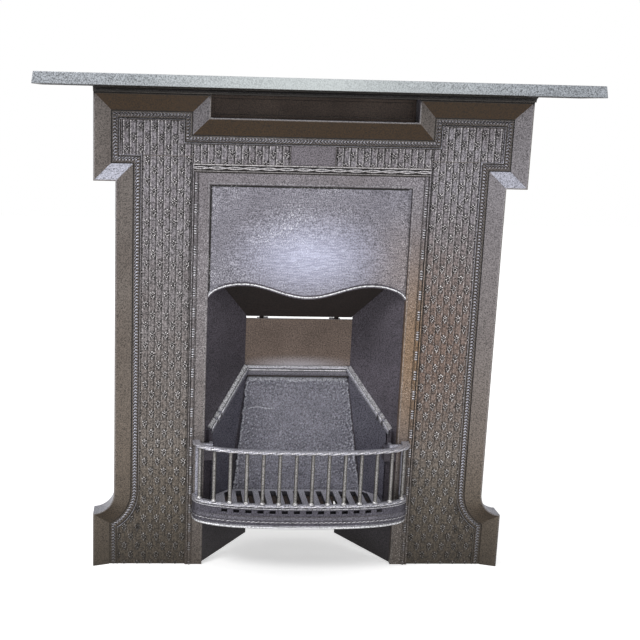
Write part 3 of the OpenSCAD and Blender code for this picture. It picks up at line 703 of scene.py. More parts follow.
@dataclass(frozen=True)
class Fireclay(Finish):
    """Fired refractory clay, pressed: matt, pitted and gritty, blue-grey under soot."""

    name: str = "pressed fireclay, sooted"
    body: str = "#9a99a6"
    soot: str = "#807f8c"
    crest: str = "#dcdde8"  # high spots, painted pale as highlights
    # pits, painted dark as their shade
    pit: str = "#3a3842"
    grit: float = 1.3  # millimetres, the grog in the clay
    cloud: float = 55.56  # millimetres, the size of clouds of soot
    roughness: float = 0.6

    def shader(self, tree: Tree) -> bpy.types.Node:
        """Lays soot in clouds, pale crests and dark pits painted as highlight and shade, and the grit over
        them.

        Args:
            tree: The node tree.

        Returns:
            The shader.
        """
        at = add(tree, "ShaderNodeTexCoord").outputs["Object"]
        links = {"Vector": at, "Scale": METRE / self.cloud, "Detail": 6.0, "Roughness": 0.7}
        soot = add(tree, "ShaderNodeTexNoise", links).outputs["Fac"]
        links = {"Vector": at, "Scale": METRE / (self.grit * 2), "Detail": 6.0, "Roughness": 0.75}
        grit = add(tree, "ShaderNodeTexNoise", links).outputs["Fac"]
        wear_and_shade = add(tree, "ShaderNodeAttribute", attribute_name="wear_and_shade").outputs["Fac"]
        colour = tinted(tree, linear(self.soot), self.body, soot, 0.35, 0.65)
        colour = tinted(tree, colour, self.crest, wear_and_shade, 0.1, 1.0)
        colour = tinted(tree, colour, self.pit, wear_and_shade, -0.1, -1.0)
        colour = darkened(tree, colour, grit, ((0.38, "#707070"), (0.49, "#cccccc"), (0.6, "#ffffff")), 1.0)
        links = {"Height": grit, "Strength": 0.7, "Distance": 0.0015}
        bump = add(tree, "ShaderNodeBump", links).outputs["Normal"]
        links = {"Base Color": colour, "Roughness": self.roughness, "Normal": bump}
        return add(tree, "ShaderNodeBsdfPrincipled", links)


# Polished by hand on a rough casting: a grey sheen, painted blue on faces that look to the left as the light
# from that side, and browner at the foot, where it is also painted dark as shade.
SURROUND_IRON = CastIron(
    "black-leaded cast iron, surround", "#7b7470", "#6c6460", "#bfc1d0", "#38260f",
    tilt=0.27, down_share=1.0, crest="#c9c5c7", hollow="#16110d", harsh=0.12,
    low="#766a5e", hearth="#3b342a", left="#a9a9b9",
)
# Fine relief that the brush only rubs on top: pale reeds and sprigs on a ground that stays black, partly as
# painted highlight and shade, and darker at the foot as painted shade.
FIELD_IRON = CastIron(
    "black-leaded cast iron, relief", "#938f96", "#817a7f", "#b8b6ba", "#463a2c",
    up_share=0.3, down_share=0.3, crest="#e4e0e0", hollow="#100c09", harsh=0.62, patch=60.0,
    low="#7a7064", hearth="#3a3228", stain="#83695a",
)
# A small smooth face, evenly polished: quiet next to the relief.
PLATE_IRON = CastIron(
    "black-leaded cast iron, plain plate", "#7e7880", "#736d73", "#b8b6ba", "#463a2c", up_share=0.3
)
# The palest and coolest of the castings, with a soft highlight painted along the edge.
SHELF_IRON = CastIron(
    "black-leaded cast iron, shelf", "#a3a8ae", "#93999f", "#c6c6cf", "#4a443f", up_share=0.3,
    glow="#aeb4b4", glow_at=(-0.02, -0.11, 0.9), glow_size=0.42,
)
# The same polish in the shelf's shade: nearly black, and brown where it catches light.
COVE_IRON = CastIron("black-leaded cast iron, in shade", "#45403c", "#2c2825", "#7f7d82", "#1c1815")
# Flat and well rubbed, with bare grains painted white as glints, browned by heat on its right side, and
# darker at the foot as painted shade.
INSERT_IRON = CastIron(
    "black-leaded cast iron, insert", "#89848b", "#787275", "#b4b4be", "#554a40",
    hollow="#16110d", harsh=0.22, spark=0.2, low="#827a76", hearth="#544b43",
    stain="#957653", stain_at=(0.215, -0.1, 0.42),
)
# Brushed from side to side over a crown: fine level streaks, bare grains painted white as glints, and a broad
# silver highlight painted on.
HOOD_IRON = CastIron(
    "black-leaded cast iron, hood", "#9c9aa5", "#8e8b95", "#c0c0cc", "#6d6863",
    roughness=0.38, relief=0.8, patch=170.0, hollow="#15110f", spark=0.4, brush=0.7,
    glow="#bcbed4", glow_at=(0.0, -0.02, 0.6), glow_size=0.18, glow_flat=1.8,
    stain="#a89484", stain_at=(0.19, -0.1, 0.58), stain_size=0.14,
)
# An edge that hands and irons touch, rubbed to bright metal, with a highlight painted along it: a thin silver
# line.
LIP_IRON = CastIron(
    "cast iron edge, rubbed bright", "#b9b8c4", "#9a99a5", "#e4e4ec", "#6d6a68", roughness=0.3,
    crest="#f6f6fa",
)
# Smoke has settled in the casting's skin: a dull blue-black that hardly shines, painted darker next to the
# hearth as shade.
FIREBOX_IRON = CastIron(
    "sooted cast iron", "#655f69", "#4e4951", "#777581", "#2c2724", metallic=0.35, roughness=0.6,
    hearth="#1f1a17",
)
# The recess under the shelf: a flat brown-black.
RECESS_IRON = CastIron(
    "sooted cast iron, recess", "#55463d", "#40332c", "#6b6460", "#2c211c", metallic=0.35, roughness=0.6
)
# A plate that was polished before it was sooted: the firebox's blue-grey, with more sheen.
LINING_IRON = CastIron(
    "polished cast iron, side linings", "#83828f", "#64626f", "#b5b4c4", "#2c272b", roughness=0.45
)
# A moulding at the fire's edge, wiped with the hood: pale on its slope, painted as light from above, and dark
# in its grooves, painted as shade.
LEDGE_IRON = CastIron(
    "polished cast iron ledge", "#8f8d99", "#7a7883", "#b9b9c6", "#37323a", roughness=0.34, tilt=0.7
)
# The fire's heat has burnt the black lead off: matt tan, with a pale highlight painted along its foot.
BACK_IRON = CastIron(
    "heat-browned cast iron", "#7b6a60", "#65564d", "#a5a3aa", "#3a322c", metallic=0.4, roughness=0.55,
    glow="#a09b9f", glow_at=(0.0, 0.073, 0.372), glow_size=0.15, glow_flat=6.0,
)
# Burnt and tarred in the smoke's way: a dead brown-black.
DAMPER_IRON = CastIron(
    "burnt cast iron", "#40302c", "#281c19", "#5a5048", "#241b18", metallic=0.3, roughness=0.65
)
# Rails that are rubbed each time the fire is fed: silvery ropes with black between the strands, partly
# painted highlight and shade.
BASKET_IRON = CastIron(
    "worn black-leaded cast iron, basket", "#cdcddb", "#b4b3c0", "#dadae6", "#3a3530",
    roughness=0.34, tilt=0.8, hollow="#1d191a",
)
# The same casting low down and out of the light: slate grey with dark vents.
APRON_IRON = CastIron(
    "cast iron apron, in shade", "#67646f", "#504d58", "#8c8a96", "#2b272c", roughness=0.5
)
# Round bars forged smooth, with a highlight painted on the side that faces the camera and shade painted on
# their sides: each a pale line on dark.
BAR_IRON = CastIron(
    "wrought iron bar, rubbed bare", "#96938f", "#7d7a76", "#f0efee", "#5a544c", roughness=0.36, tilt=0.8
)
# Pale on top, partly scoured by coals and ash and partly painted light from above, and black inside the
# slots.
GRATE_IRON = CastIron(
    "cast iron grate", "#4d4b53", "#3a3840", "#d6d5e0", "#2d2a28", roughness=0.55, tilt=0.8, up_share=1.0
)
# Turned steel, blackened in oil: smoother and more metallic than the castings it holds.
BOLT_STEEL = CastIron(
    "blackened steel bolts", "#5c5c60", "#434347", "#7a7a80", "#2f2f31", metallic=0.8, grain=0.8
)
FIREBRICK_CLAY = Fireclay()


# ---------------------------------------------------------------- surround


@dataclass
class Surround:
    """The bevelled surround: casting, rope border, raised lines, reeded field with sprigs, blank plate."""

    half_width: float = 390.0
    half_body: float = 351.0
    height: float = 884.0
    ear: float = 154.0
    half_notch: float = 185.0
    notch: float = 40.0
    foot_top: float = 147.0
    foot_radius: float = 41.0
    foot_lip: float = 2.0
    hearth_gap: float = 0.8  # how far the relief stops above the hearth
    panel: float = 10.0  # depth of the panel's face behind the rim
    sink: float = 0.6  # how far a band's back is sunk in the panel
    rope_in: float = 33.4  # where the rope band starts, in from the edge
    rope_out: float = 42.6
    strand: float = 5.8  # spacing of the rope's strands along the band
    slant: float = 0.85  # how many strands a strand leans over from the middle to the side
    rope_rise: float = 1.9
    fillet_rise: float = 0.9
    groove_end: float = 32.5  # end of the groove at the bevel's foot
    fillet_end: float = 34.0
    rope_groove: tuple[float, float] = (42.9, 44.1)
    line: float = 45.4  # middle of the raised line
    line_half: float = 1.3
    line_rise: float = 2.0
    line_end: float = 46.7  # where the line gives way to the field's groove
    rim: float = 1.65  # middle of the line on the rim
    rim_half: float = 1.5
    rim_rise: float = 0.85
    shelf_shade: float = 6.0  # how far down the shelf's shadow is painted dark on the rim
    field_in: float = 47.0  # where the reeded field ends, in from the edge
    field_foot: float = 1.0
    ground: float = 9.3  # depth of the field's ground
    reed: float = 12.2  # spacing of the reeds
    ridge_half: float = 0.85  # half the width of the ridge on a reed
    ridge_rise: float = 0.7
    quirk: float = 2.1  # from the ridge to the fine groove beside it
    quirk_half: float = 1.1
    quirk_fall: float = 0.66
    sprig: float = 37.5  # spacing of the sprigs up a reed
    sprig_rise: float = 2.2
    jamb_in: float = 215.6  # where the field starts beside the moulding
    jamb_top: float = 776.0
    jamb_columns: int = 92
    jamb_step: float = 1.02  # between the jamb's rows
    foot_grid: tuple[int, int] = (41, 146)  # the foot's columns and rows
    step: float = 1.0  # grid of the other patches
    # pale crests and dark hollows of the relief: partly wear, partly painted highlight and shade
    wear_and_shade_reach: int = 4  # grid steps over which a height counts as high or low
    wear_and_shade_gain: float = 1.8
    frieze_in: float = 41.0  # where the frieze's field starts beside the plate
    frieze_low: float = 763.8
    frieze_shift: float = 13.0  # how far the frieze's sprigs are moved up
    plate_half: float = 40.0
    plate_low: float = 763.2
    plate_high: float = 798.8

    def half_outline(self, inset: float) -> Array:
        """Gives the corners of the edge's right half, from the floor to the notch's middle.

        The foot is a quarter round that cuts back into the body, and everything moves in by the inset.

        Args:
            inset: Distance in from the edge.

        Returns:
            Corners x 2, as X and height.
        """
        r = self.foot_radius + inset
        start = 180 + math.degrees(math.acos((self.foot_lip + inset) / r))
        a = np.radians(np.linspace(start, 180, 17))
        centre = np.array([self.half_body + self.foot_radius, self.foot_top])
        arc = centre + r * np.stack([np.cos(a), np.sin(a)], axis=1)
        side, top = self.half_width - inset, self.height - inset
        ear_foot = self.height - self.ear + inset
        notch_foot = self.height - self.notch - inset
        tail = [
            [self.half_body - inset, ear_foot],
            [side, ear_foot],
            [side, top],
            [self.half_notch + inset, top],
            [self.half_notch + inset, notch_foot],
            [0.0, notch_foot],
        ]
        return np.concatenate([[[side, self.hearth_gap]], arc, tail])

    def rows_at(self, insets: Array, step: float) -> tuple[Array, Array]:
        """Follows the right half of the edge at several insets, station by station.

        Each station is a share of one straight or curved segment, and the same share is taken at every
        inset, so that the rows meet at the mitres.

        Args:
            insets: Distances in from the edge.
            step: Distance between stations.

        Returns:
            Array of insets x stations x 2, and each station's distance along the edge.
        """
        middle = self.half_outline(float(np.mean(insets)))
        segment, share, run = resampled(middle, step)
        rows = []
        for inset in insets:
            corners = self.half_outline(float(inset))
            after = corners[np.minimum(segment + 1, len(corners) - 1)]
            rows.append(corners[segment] * (1 - share[:, None]) + after * share[:, None])
        return np.stack(rows), run

    def band(self, insets: Array, step: float, surface: Surface, back: float) -> list[Array]:
        """A raised band along the edge, both halves, closed at the back.

        Args:
            insets: Distances in from the edge, one for each row of points across the band.
            step: Distance between stations along the edge.
            surface: Gives the surface's depth, and its wear and painted shade, from the inset, the run and
                the height.
            back: Depth of the band's back, sunk in the casting.

        Returns:
            The two halves as tubes.
        """
        rows, run = self.rows_at(insets, step)
        inset, along = np.meshgrid(insets, run, indexing="ij")
        depth, wear_and_shade = surface(inset, along, rows[..., 1])
        x, z = rows[..., 0], rows[..., 1]
        face = np.stack([x, depth, z, np.broadcast_to(wear_and_shade, x.shape)], axis=-1)
        behind = np.stack([x, np.full_like(x, back), z, np.zeros_like(x)], axis=-1)
        ring = np.concatenate([face, behind[-1:], behind[:1]])
        right = np.swapaxes(ring, 0, 1)[None]
        return [right, mirrored(right)]

    def rope_surface(self, inset: Array, run: Array, up: Array) -> tuple[Array, Array]:
        """The rope band: slanted strands that bulge between a small fillet on each side.

        A strand's height is a cosine of the run, moved on by the distance from the band's middle, so the
        strands lean one way on one side and the other way on the other, as a plait's do. The bulge is the
        fourth root of one less the square of the distance from the middle.

        Args:
            inset: Distance in from the edge.
            run: Distance along it.
            up: Height, unused.

        Returns:
            Depth, and wear with painted light and shade.
        """
        off = (inset - self.rope_in) / (self.rope_out - self.rope_in) * 2 - 1
        strand = 0.5 + 0.5 * np.cos(2 * np.pi * (run / self.strand + self.slant * np.abs(off)))
        bulge = np.sqrt(np.clip(1 - off**2, 0, 1))
        edge = np.abs(off) > 0.8
        height = 0.2 + self.rope_rise * np.sqrt(bulge) * (0.15 + 0.85 * strand)
        height = np.where(edge, self.fillet_rise, height)
        # pale strand tops and darker fillets: wear, and painted highlight and shade
        wear_and_shade = np.where(edge, -0.45, (strand * 1.4 - 0.85) * np.clip(bulge, 0.7, 1))
        return self.panel - height, np.clip(wear_and_shade, -1, 1)

    def line_surface(self, inset: Array, run: Array, up: Array) -> tuple[Array, Array]:
        """The lines beside the rope: grooves painted dark as shade, a fillet at the bevel's foot, and a
        rounded raised line.

        The raised line is half an ellipse across.

        Args:
            inset: Distance in from the edge.
            run: Distance along it, unused.
            up: Height, unused.

        Returns:
            Depth, and wear with painted light and shade.
        """
        groove_in, groove_out = self.rope_groove
        groove = (inset < self.groove_end) | (inset > self.line_end)
        groove |= (inset > groove_in) & (inset < groove_out)
        fillet = inset < self.fillet_end
        crown = np.sqrt(np.clip(1 - ((inset - self.line) / self.line_half) ** 2, 0, 1))
        height = np.where(fillet, self.fillet_rise, 0.3 + self.line_rise * crown)
        height = np.where(groove, 0.1, height)
        # the grooves are painted dark as shade
        wear_and_shade = np.where(groove, -1.0, np.where(fillet, -0.2, crown * 0.55 - 0.2))
        return self.panel - height, wear_and_shade

    def rim_surface(self, inset: Array, run: Array, up: Array) -> tuple[Array, Array]:
        """The line on the rim, half an ellipse across: pale, but painted dark as the shelf's shadow where the
        shelf is close over it.
        """
        crown = np.sqrt(np.clip(1 - ((inset - self.rim) / self.rim_half) ** 2, 0, 1))
        return 0.35 - self.rim_rise * crown, np.where(up > self.height - self.shelf_shade, -1.0, 0.3)

    def sprig_height(self, u: Array, v: Array) -> Array:
        """Height of one sprig: a round bud over a fan of leaves, on a short stem with two volutes.

        Each leaf is a dome: its height falls off as an ellipse does with the distance from its middle,
        measured along its own long and short axes, and the highest dome counts.

        Args:
            u: Distance across from the sprig's middle, in millimetres.
            v: Distance up from its middle.

        Returns:
            The height as a share of the highest, nought outside.
        """
        leaves = (  # middle across and up, half width, half length, turn in radians, height
            (0.0, 5.4, 1.5, 2.0, 0.0, 1.0),
            (-3.0, 3.2, 1.1, 2.1, 0.6, 0.8),
            (3.0, 3.2, 1.1, 2.1, -0.6, 0.8),
            (0.0, 1.3, 1.3, 1.2, 0.0, 0.85),
            (-3.1, -1.0, 1.1, 1.7, -0.5, 0.8),
            (3.1, -1.0, 1.1, 1.7, 0.5, 0.8),
            (-1.5, -3.9, 1.0, 1.8, 0.4, 0.8),
            (1.5, -3.9, 1.0, 1.8, -0.4, 0.8),
            (0.0, -6.9, 1.3, 1.4, 0.0, 0.9),
        )
        total = np.zeros_like(u)
        for middle_u, middle_v, half_wide, half_long, turn, tall in leaves:
            du, dv = u - middle_u, v - middle_v
            across = (du * math.cos(turn) + dv * math.sin(turn)) / half_wide
            along = (dv * math.cos(turn) - du * math.sin(turn)) / half_long
            total = np.maximum(total, tall * np.sqrt(np.clip(1 - across**2 - along**2, 0, 1)))
        return total

    def reeds(self, x: Array, z: Array, shift: float = 0.0) -> Array:
        """Height of the field: channels between thin ridges with a quirk beside each, and sprigs in them.

        Ridge and quirk are bell curves across a channel, both fainter towards the floor by the square of
        the height. Neighbouring channels carry their sprigs half a spacing apart.

        Args:
            x: Distance across, in millimetres.
            z: Height.
            shift: Moves the sprigs up.

        Returns:
            Height above the field's ground.
        """
        channel = np.floor(x / self.reed)
        u = x - (channel + 0.5) * self.reed
        half = self.reed / 2
        crisp = (z / self.height) ** 2
        ridge = np.exp(-(((np.abs(u) - half) / self.ridge_half) ** 2)) * (0.2 + 0.8 * crisp)
        quirk = np.exp(-(((u + half - self.quirk) / self.quirk_half) ** 2)) * (0.5 + 0.5 * crisp)
        lift = np.where(np.mod(channel, 2) < 0.5, 0.0, self.sprig / 2)
        v = np.mod(z - shift + lift, self.sprig) - self.sprig / 2
        sprig = self.sprig_rise * self.sprig_height(u, v)
        lines = self.ridge_rise * ridge - self.quirk_fall * quirk
        return np.where(sprig > 0.05, np.maximum(sprig, lines), lines)

    def patch(self, x: Array, z: Array, start: float, shift: float = 0.0) -> Array:
        """Closes a patch of the reeded field into one tube, with its back sunk in the panel.

        Args:
            x: Places across, columns x rows.
            z: Heights, columns x rows.
            start: Where the reeds are counted from.
            shift: Moves the sprigs up.

        Returns:
            Array of 1 x columns x points x 4.
        """
        height = self.reeds(x - start, z, shift)
        wear_and_shade = local_relief(height, self.wear_and_shade_reach, self.wear_and_shade_gain)
        front = np.stack([x, self.ground - height, z, wear_and_shade], axis=-1)
        back = np.stack([x, np.full_like(height, self.panel + 1.0), z, wear_and_shade], axis=-1)[:, ::-1]
        return np.concatenate([front, back[:, :1], back[:, -1:]], axis=1)[None]

    def field_parts(self) -> list[Array]:
        """The jambs, the feet beside them, the two steps of each ear, right and left, and the frieze.

        A foot's patch ends at the top on the quarter round that is the line's inner edge: the height there
        is the round's middle less the root of its radius squared less the distance across squared.

        Returns:
            The patches.
        """
        line = self.field_in
        jamb_out, ear_out = self.half_body - line, self.half_width - line
        shoulder = self.height - self.notch - line
        across = np.linspace(self.jamb_in, jamb_out, self.jamb_columns)
        up = np.arange(self.field_foot, self.jamb_top, self.jamb_step)
        parts = [self.patch(*np.meshgrid(across, up, indexing="ij"), self.jamb_in)]
        columns, rows = self.foot_grid
        across = np.linspace(jamb_out, ear_out, columns)
        off = self.half_body + self.foot_radius - across
        top = self.foot_top - np.sqrt(np.clip((self.foot_radius + line) ** 2 - off**2, 0, None))
        z = self.field_foot + (top[:, None] - self.field_foot) * np.linspace(0, 1, rows)[None]
        parts.append(self.patch(np.broadcast_to(across[:, None], z.shape), z, self.jamb_in))
        for x0, z0, z1 in (
            (self.jamb_in, self.jamb_top + 0.6, shoulder - 0.6),
            (self.half_notch + line, shoulder, self.height - line),
        ):
            across, up = np.arange(x0, ear_out, self.step), np.arange(z0, z1 + 0.5, self.step)
            parts.append(self.patch(*np.meshgrid(across, up, indexing="ij"), self.jamb_in))
        parts += [mirrored(part) for part in parts]
        across = np.arange(self.frieze_in, self.jamb_in, self.step)
        up = np.arange(self.frieze_low, shoulder, self.step)
        frieze = self.patch(*np.meshgrid(across, up, indexing="ij"), self.frieze_in, self.frieze_shift)
        return parts + [frieze, mirrored(frieze)]

    def build(self) -> None:
        """Makes and dresses every piece of the surround."""
        soften("surround", SURROUND_IRON, 0.0, sharp=9.0)
        back = self.panel + self.sink
        rope_rows = np.linspace(self.rope_in, self.rope_out, 12)
        border = self.band(rope_rows, step=1.1, surface=self.rope_surface, back=back)
        make_piece("rope_border", border, SURROUND_IRON)
        fillet_rows = np.array([30.2, 31.3, 32.4, 32.6, 33.6])
        line_rows = np.array([42.5, 43.0, 44.0, 44.2, 44.6, 45.4, 46.2, 46.6, 46.8, 47.8])
        lines = self.band(fillet_rows, step=6.0, surface=self.line_surface, back=back)
        lines += self.band(line_rows, step=6.0, surface=self.line_surface, back=back)
        make_piece("border_lines", lines, SURROUND_IRON)
        rim_rows = np.array([0.25, 0.7, 1.5, 2.4, 3.1])
        rim = self.band(rim_rows, step=8.0, surface=self.rim_surface, back=1.2)
        make_piece("rim_line", rim, SURROUND_IRON)
        for number, part in enumerate(self.field_parts(), 1):
            make_piece(f"reeded_field_{number}", [part], FIELD_IRON)
        make_piece("blank_plate", [self.blank_plate()], PLATE_IRON, smooth=25)

    def blank_plate(self) -> Array:
        """The plain plate in the frieze: a raised border round a flat, as rectangles pulled in step by step.

        Returns:
            Array of 1 x steps x corners x 3.
        """
        rings = []
        for inset, depth in (
            (0.0, 11.0), (0.0, 8.9), (0.5, 8.3), (2.2, 8.1), (2.8, 8.2), (3.2, 8.65), (4.0, 8.7),
        ):
            x, low, high = self.plate_half - inset, self.plate_low + inset, self.plate_high - inset
            rings.append([(-x, depth, low), (x, depth, low), (x, depth, high), (-x, depth, high)])
        return np.array(rings)[None]


# ---------------------------------------------------------------- moulding round the insert


@dataclass
class Moulding:
    """The raised moulding round the insert: crossed ribbons at the top, bead and reel down the sides."""

    foot: float = 0.6
    bead: float = 207.8  # middle of the bead and reel, over the joint with the insert
    bead_half: float = 3.0
    bead_long: float = 4.4
    beads: int = 4
    repeat: float = 38.0  # from one group of beads to the next
    first: float = 9.0  # how far into a repeat the foot is
    bead_depth: float = 6.8
    bead_rise: float = 2.7
    outer: float = 213.9
    low: float = 748.7
    high: float = 761.9
    back: float = 10.6
    ribbon: float = 756.3  # height of the ribbons' middle
    ribbon_half: float = 1.45
    ribbon_rise: float = 1.5
    ribbon_depth: float = 6.7
    weave: float = 0.5  # how far a ribbon passes over and under the other
    loop: float = 62.0  # length of a ribbon's whole wave
    swing: float = 1.8

    def bead_and_reel(self) -> Array:
        """Bead and reel: half a circle, scaled by a radius that swells in beads and pinches at the reels.

        Four beads follow each other, each half a sine long, then a long plain reel that swells by half a
        sine of its own.

        Returns:
            Array of 1 x stations x points x 4.
        """
        z = np.arange(self.foot, self.low, 0.5)
        phase = np.mod(z + self.first, self.repeat)
        beaded = self.bead_long * self.beads
        beads = np.abs(np.sin(np.pi * phase / self.bead_long))
        reel = 0.55 + 0.2 * np.sin(np.pi * (phase - beaded) / (self.repeat - beaded))
        swell = np.where(phase < beaded, 0.45 + 0.55 * beads, reel)[:, None]
        # beads pale on top and painted dark down their sides as shade
        wear_and_shade = np.where(phase < beaded, beads * 2.5 - 1.6, 0.0)[:, None]
        a = np.linspace(0, np.pi, 9)[None]
        ring = [
            self.bead + self.bead_half * np.cos(a) * swell,
            self.bead_depth - self.bead_rise * np.sin(a) * swell,
            np.broadcast_to(z[:, None], (len(z), a.size)),
            np.clip(wear_and_shade - 0.4 * np.abs(np.cos(a)) ** 3, -1, 1),
        ]
        return np.stack(ring, axis=-1)[None]

    def sides(self) -> list[Array]:
        """The sides: the bead and reel, with fillets and grooves painted dark as shade each side of it.

        Returns:
            The tubes, right and left.
        """
        parts = [self.bead_and_reel()]
        for x0, x1, out, top, wear_and_shade in (  # from, to, depth of the face, top, wear with painted shade in the grooves
            (202.8, 204.6, 6.9, self.low + 3.0, -0.75),
            (204.6, 210.4, 6.7, self.low + 3.0, 0.0),
            (210.4, 212.0, 6.8, self.low + 3.0, -1.0),
            (212.0, 214.0, 5.6, self.high + 1.5, 0.12),
            (214.0, 215.9, 6.7, self.high + 1.5, -0.9),
        ):
            path = np.array([[(x0 + x1) / 2, self.foot], [(x0 + x1) / 2, top]])
            parts.append(wear_and_shade_as(along_path(path, flat_strip(x1 - x0, self.back, out)), wear_and_shade))
        return parts + [mirrored(part) for part in parts]

    def head(self) -> list[Array]:
        """The head: two ribbons, pale on their crowns and painted dark at their sides, that cross in long
        loops on a ground painted dark as shade, with a fine bead above and below.

        The ribbons' middles move up and down as a sine of the distance across and as its opposite, and each
        passes over and under the other as a cosine. Their section is half an ellipse.

        Returns:
            The tubes.
        """
        x = np.arange(-self.outer, self.outer + 0.1, 1.5)
        turn = 2 * np.pi * x[:, None] / self.loop
        a = np.linspace(0, np.pi, 7)[None]
        size = (len(x), a.size)
        parts = []
        for sign in (1.0, -1.0):
            ring = [
                np.broadcast_to(x[:, None], size),
                self.ribbon_depth - self.weave * sign * np.cos(turn) - self.ribbon_rise * np.sin(a),
                self.ribbon + sign * self.swing * np.sin(turn) + self.ribbon_half * np.cos(a),
                np.broadcast_to(np.clip(1.7 * np.sin(a) - 0.6, -1, 1), size),
            ]
            parts.append(np.stack(ring, axis=-1)[None])
        ends = np.array([[-1.0, 0, 0], [1.0, 0, 0]])[:, None] * self.outer
        for z0, z1, out, wear_and_shade in (  # from, to, depth of the face, wear with painted shade on the ground
            (761.2, 763.2, 5.4, 0.9),
            (759.2, 761.2, 6.6, -1.0),
            (753.2, 759.2, 6.75, -1.0),
            (751.4, 753.2, 6.6, -1.0),
            (749.9, 751.4, 6.2, 0.4),
            (748.2, 749.9, 6.6, -1.0),
        ):
            ring = flat_strip(z1 - z0, self.back, out)
            line = np.stack([np.zeros(len(ring)), ring[:, 1], (z0 + z1) / 2 + ring[:, 0]], axis=1)
            parts.append(wear_and_shade_as((line[None] + ends)[None], wear_and_shade))
        return parts

    def build(self) -> None:
        """Makes the sides and the head."""
        make_piece("moulding_sides", self.sides(), INSERT_IRON)
        make_piece("moulding_head", self.head(), SURROUND_IRON)


# ---------------------------------------------------------------- shelf


@dataclass
class MantelShelf:
    """The mantel shelf, the cove under it with a bead along its top, and the panel in the notch."""

    bead_half: float = 386.0
    bead_height: float = 887.5
    bead_wide: float = 3.0
    bead_rise: float = 2.2
    cove_face: float = -13.0  # depth of the cove's face, in front of the rim

    def build(self) -> None:
        """Dresses the three castings and lays the bead."""
        soften("mantel_shelf", SHELF_IRON, 1.6)
        soften("shelf_cove", COVE_IRON, 0.5)
        soften("recess_panel", RECESS_IRON, 0.8)
        section = half_round(self.bead_wide, self.cove_face, self.cove_face - self.bead_rise)
        path = np.array([[-self.bead_half, self.bead_height], [self.bead_half, self.bead_height]])
        make_piece("cove_bead", [along_path(path, section)], COVE_IRON)


# ---------------------------------------------------------------- insert and hood


@dataclass
class Insert:
    """The flat frame inside the moulding, with its thin fillet round the mouth."""

    mouth: float = 183.0
    top: float = 727.0
    face: float = 8.0
    fillet_out: float = 2.2  # from the mouth's edge to the fillet's middle
    fillet_wide: float = 1.8
    fillet_rise: float = 0.7
    fillet_end: float = 3.0  # how far the head's fillet runs past the mouth
    foot: float = 0.8

    def build(self) -> None:
        """Dresses the frame, and lays a fine fillet along the mouth's edge."""
        soften("insert_frame", INSERT_IRON, 0.9)
        section = half_round(self.fillet_wide, self.face + 0.6, self.face - self.fillet_rise, 5)
        x, z, end = self.mouth + self.fillet_out, self.top + self.fillet_out, self.mouth + self.fillet_end
        side = wear_and_shade_as(along_path(np.array([[x, self.foot], [x, z]]), section), 0.35)
        head = wear_and_shade_as(along_path(np.array([[-end, z], [end, z]]), section), 0.3)
        make_piece("mouth_fillet", [side, mirrored(side), head], INSERT_IRON)


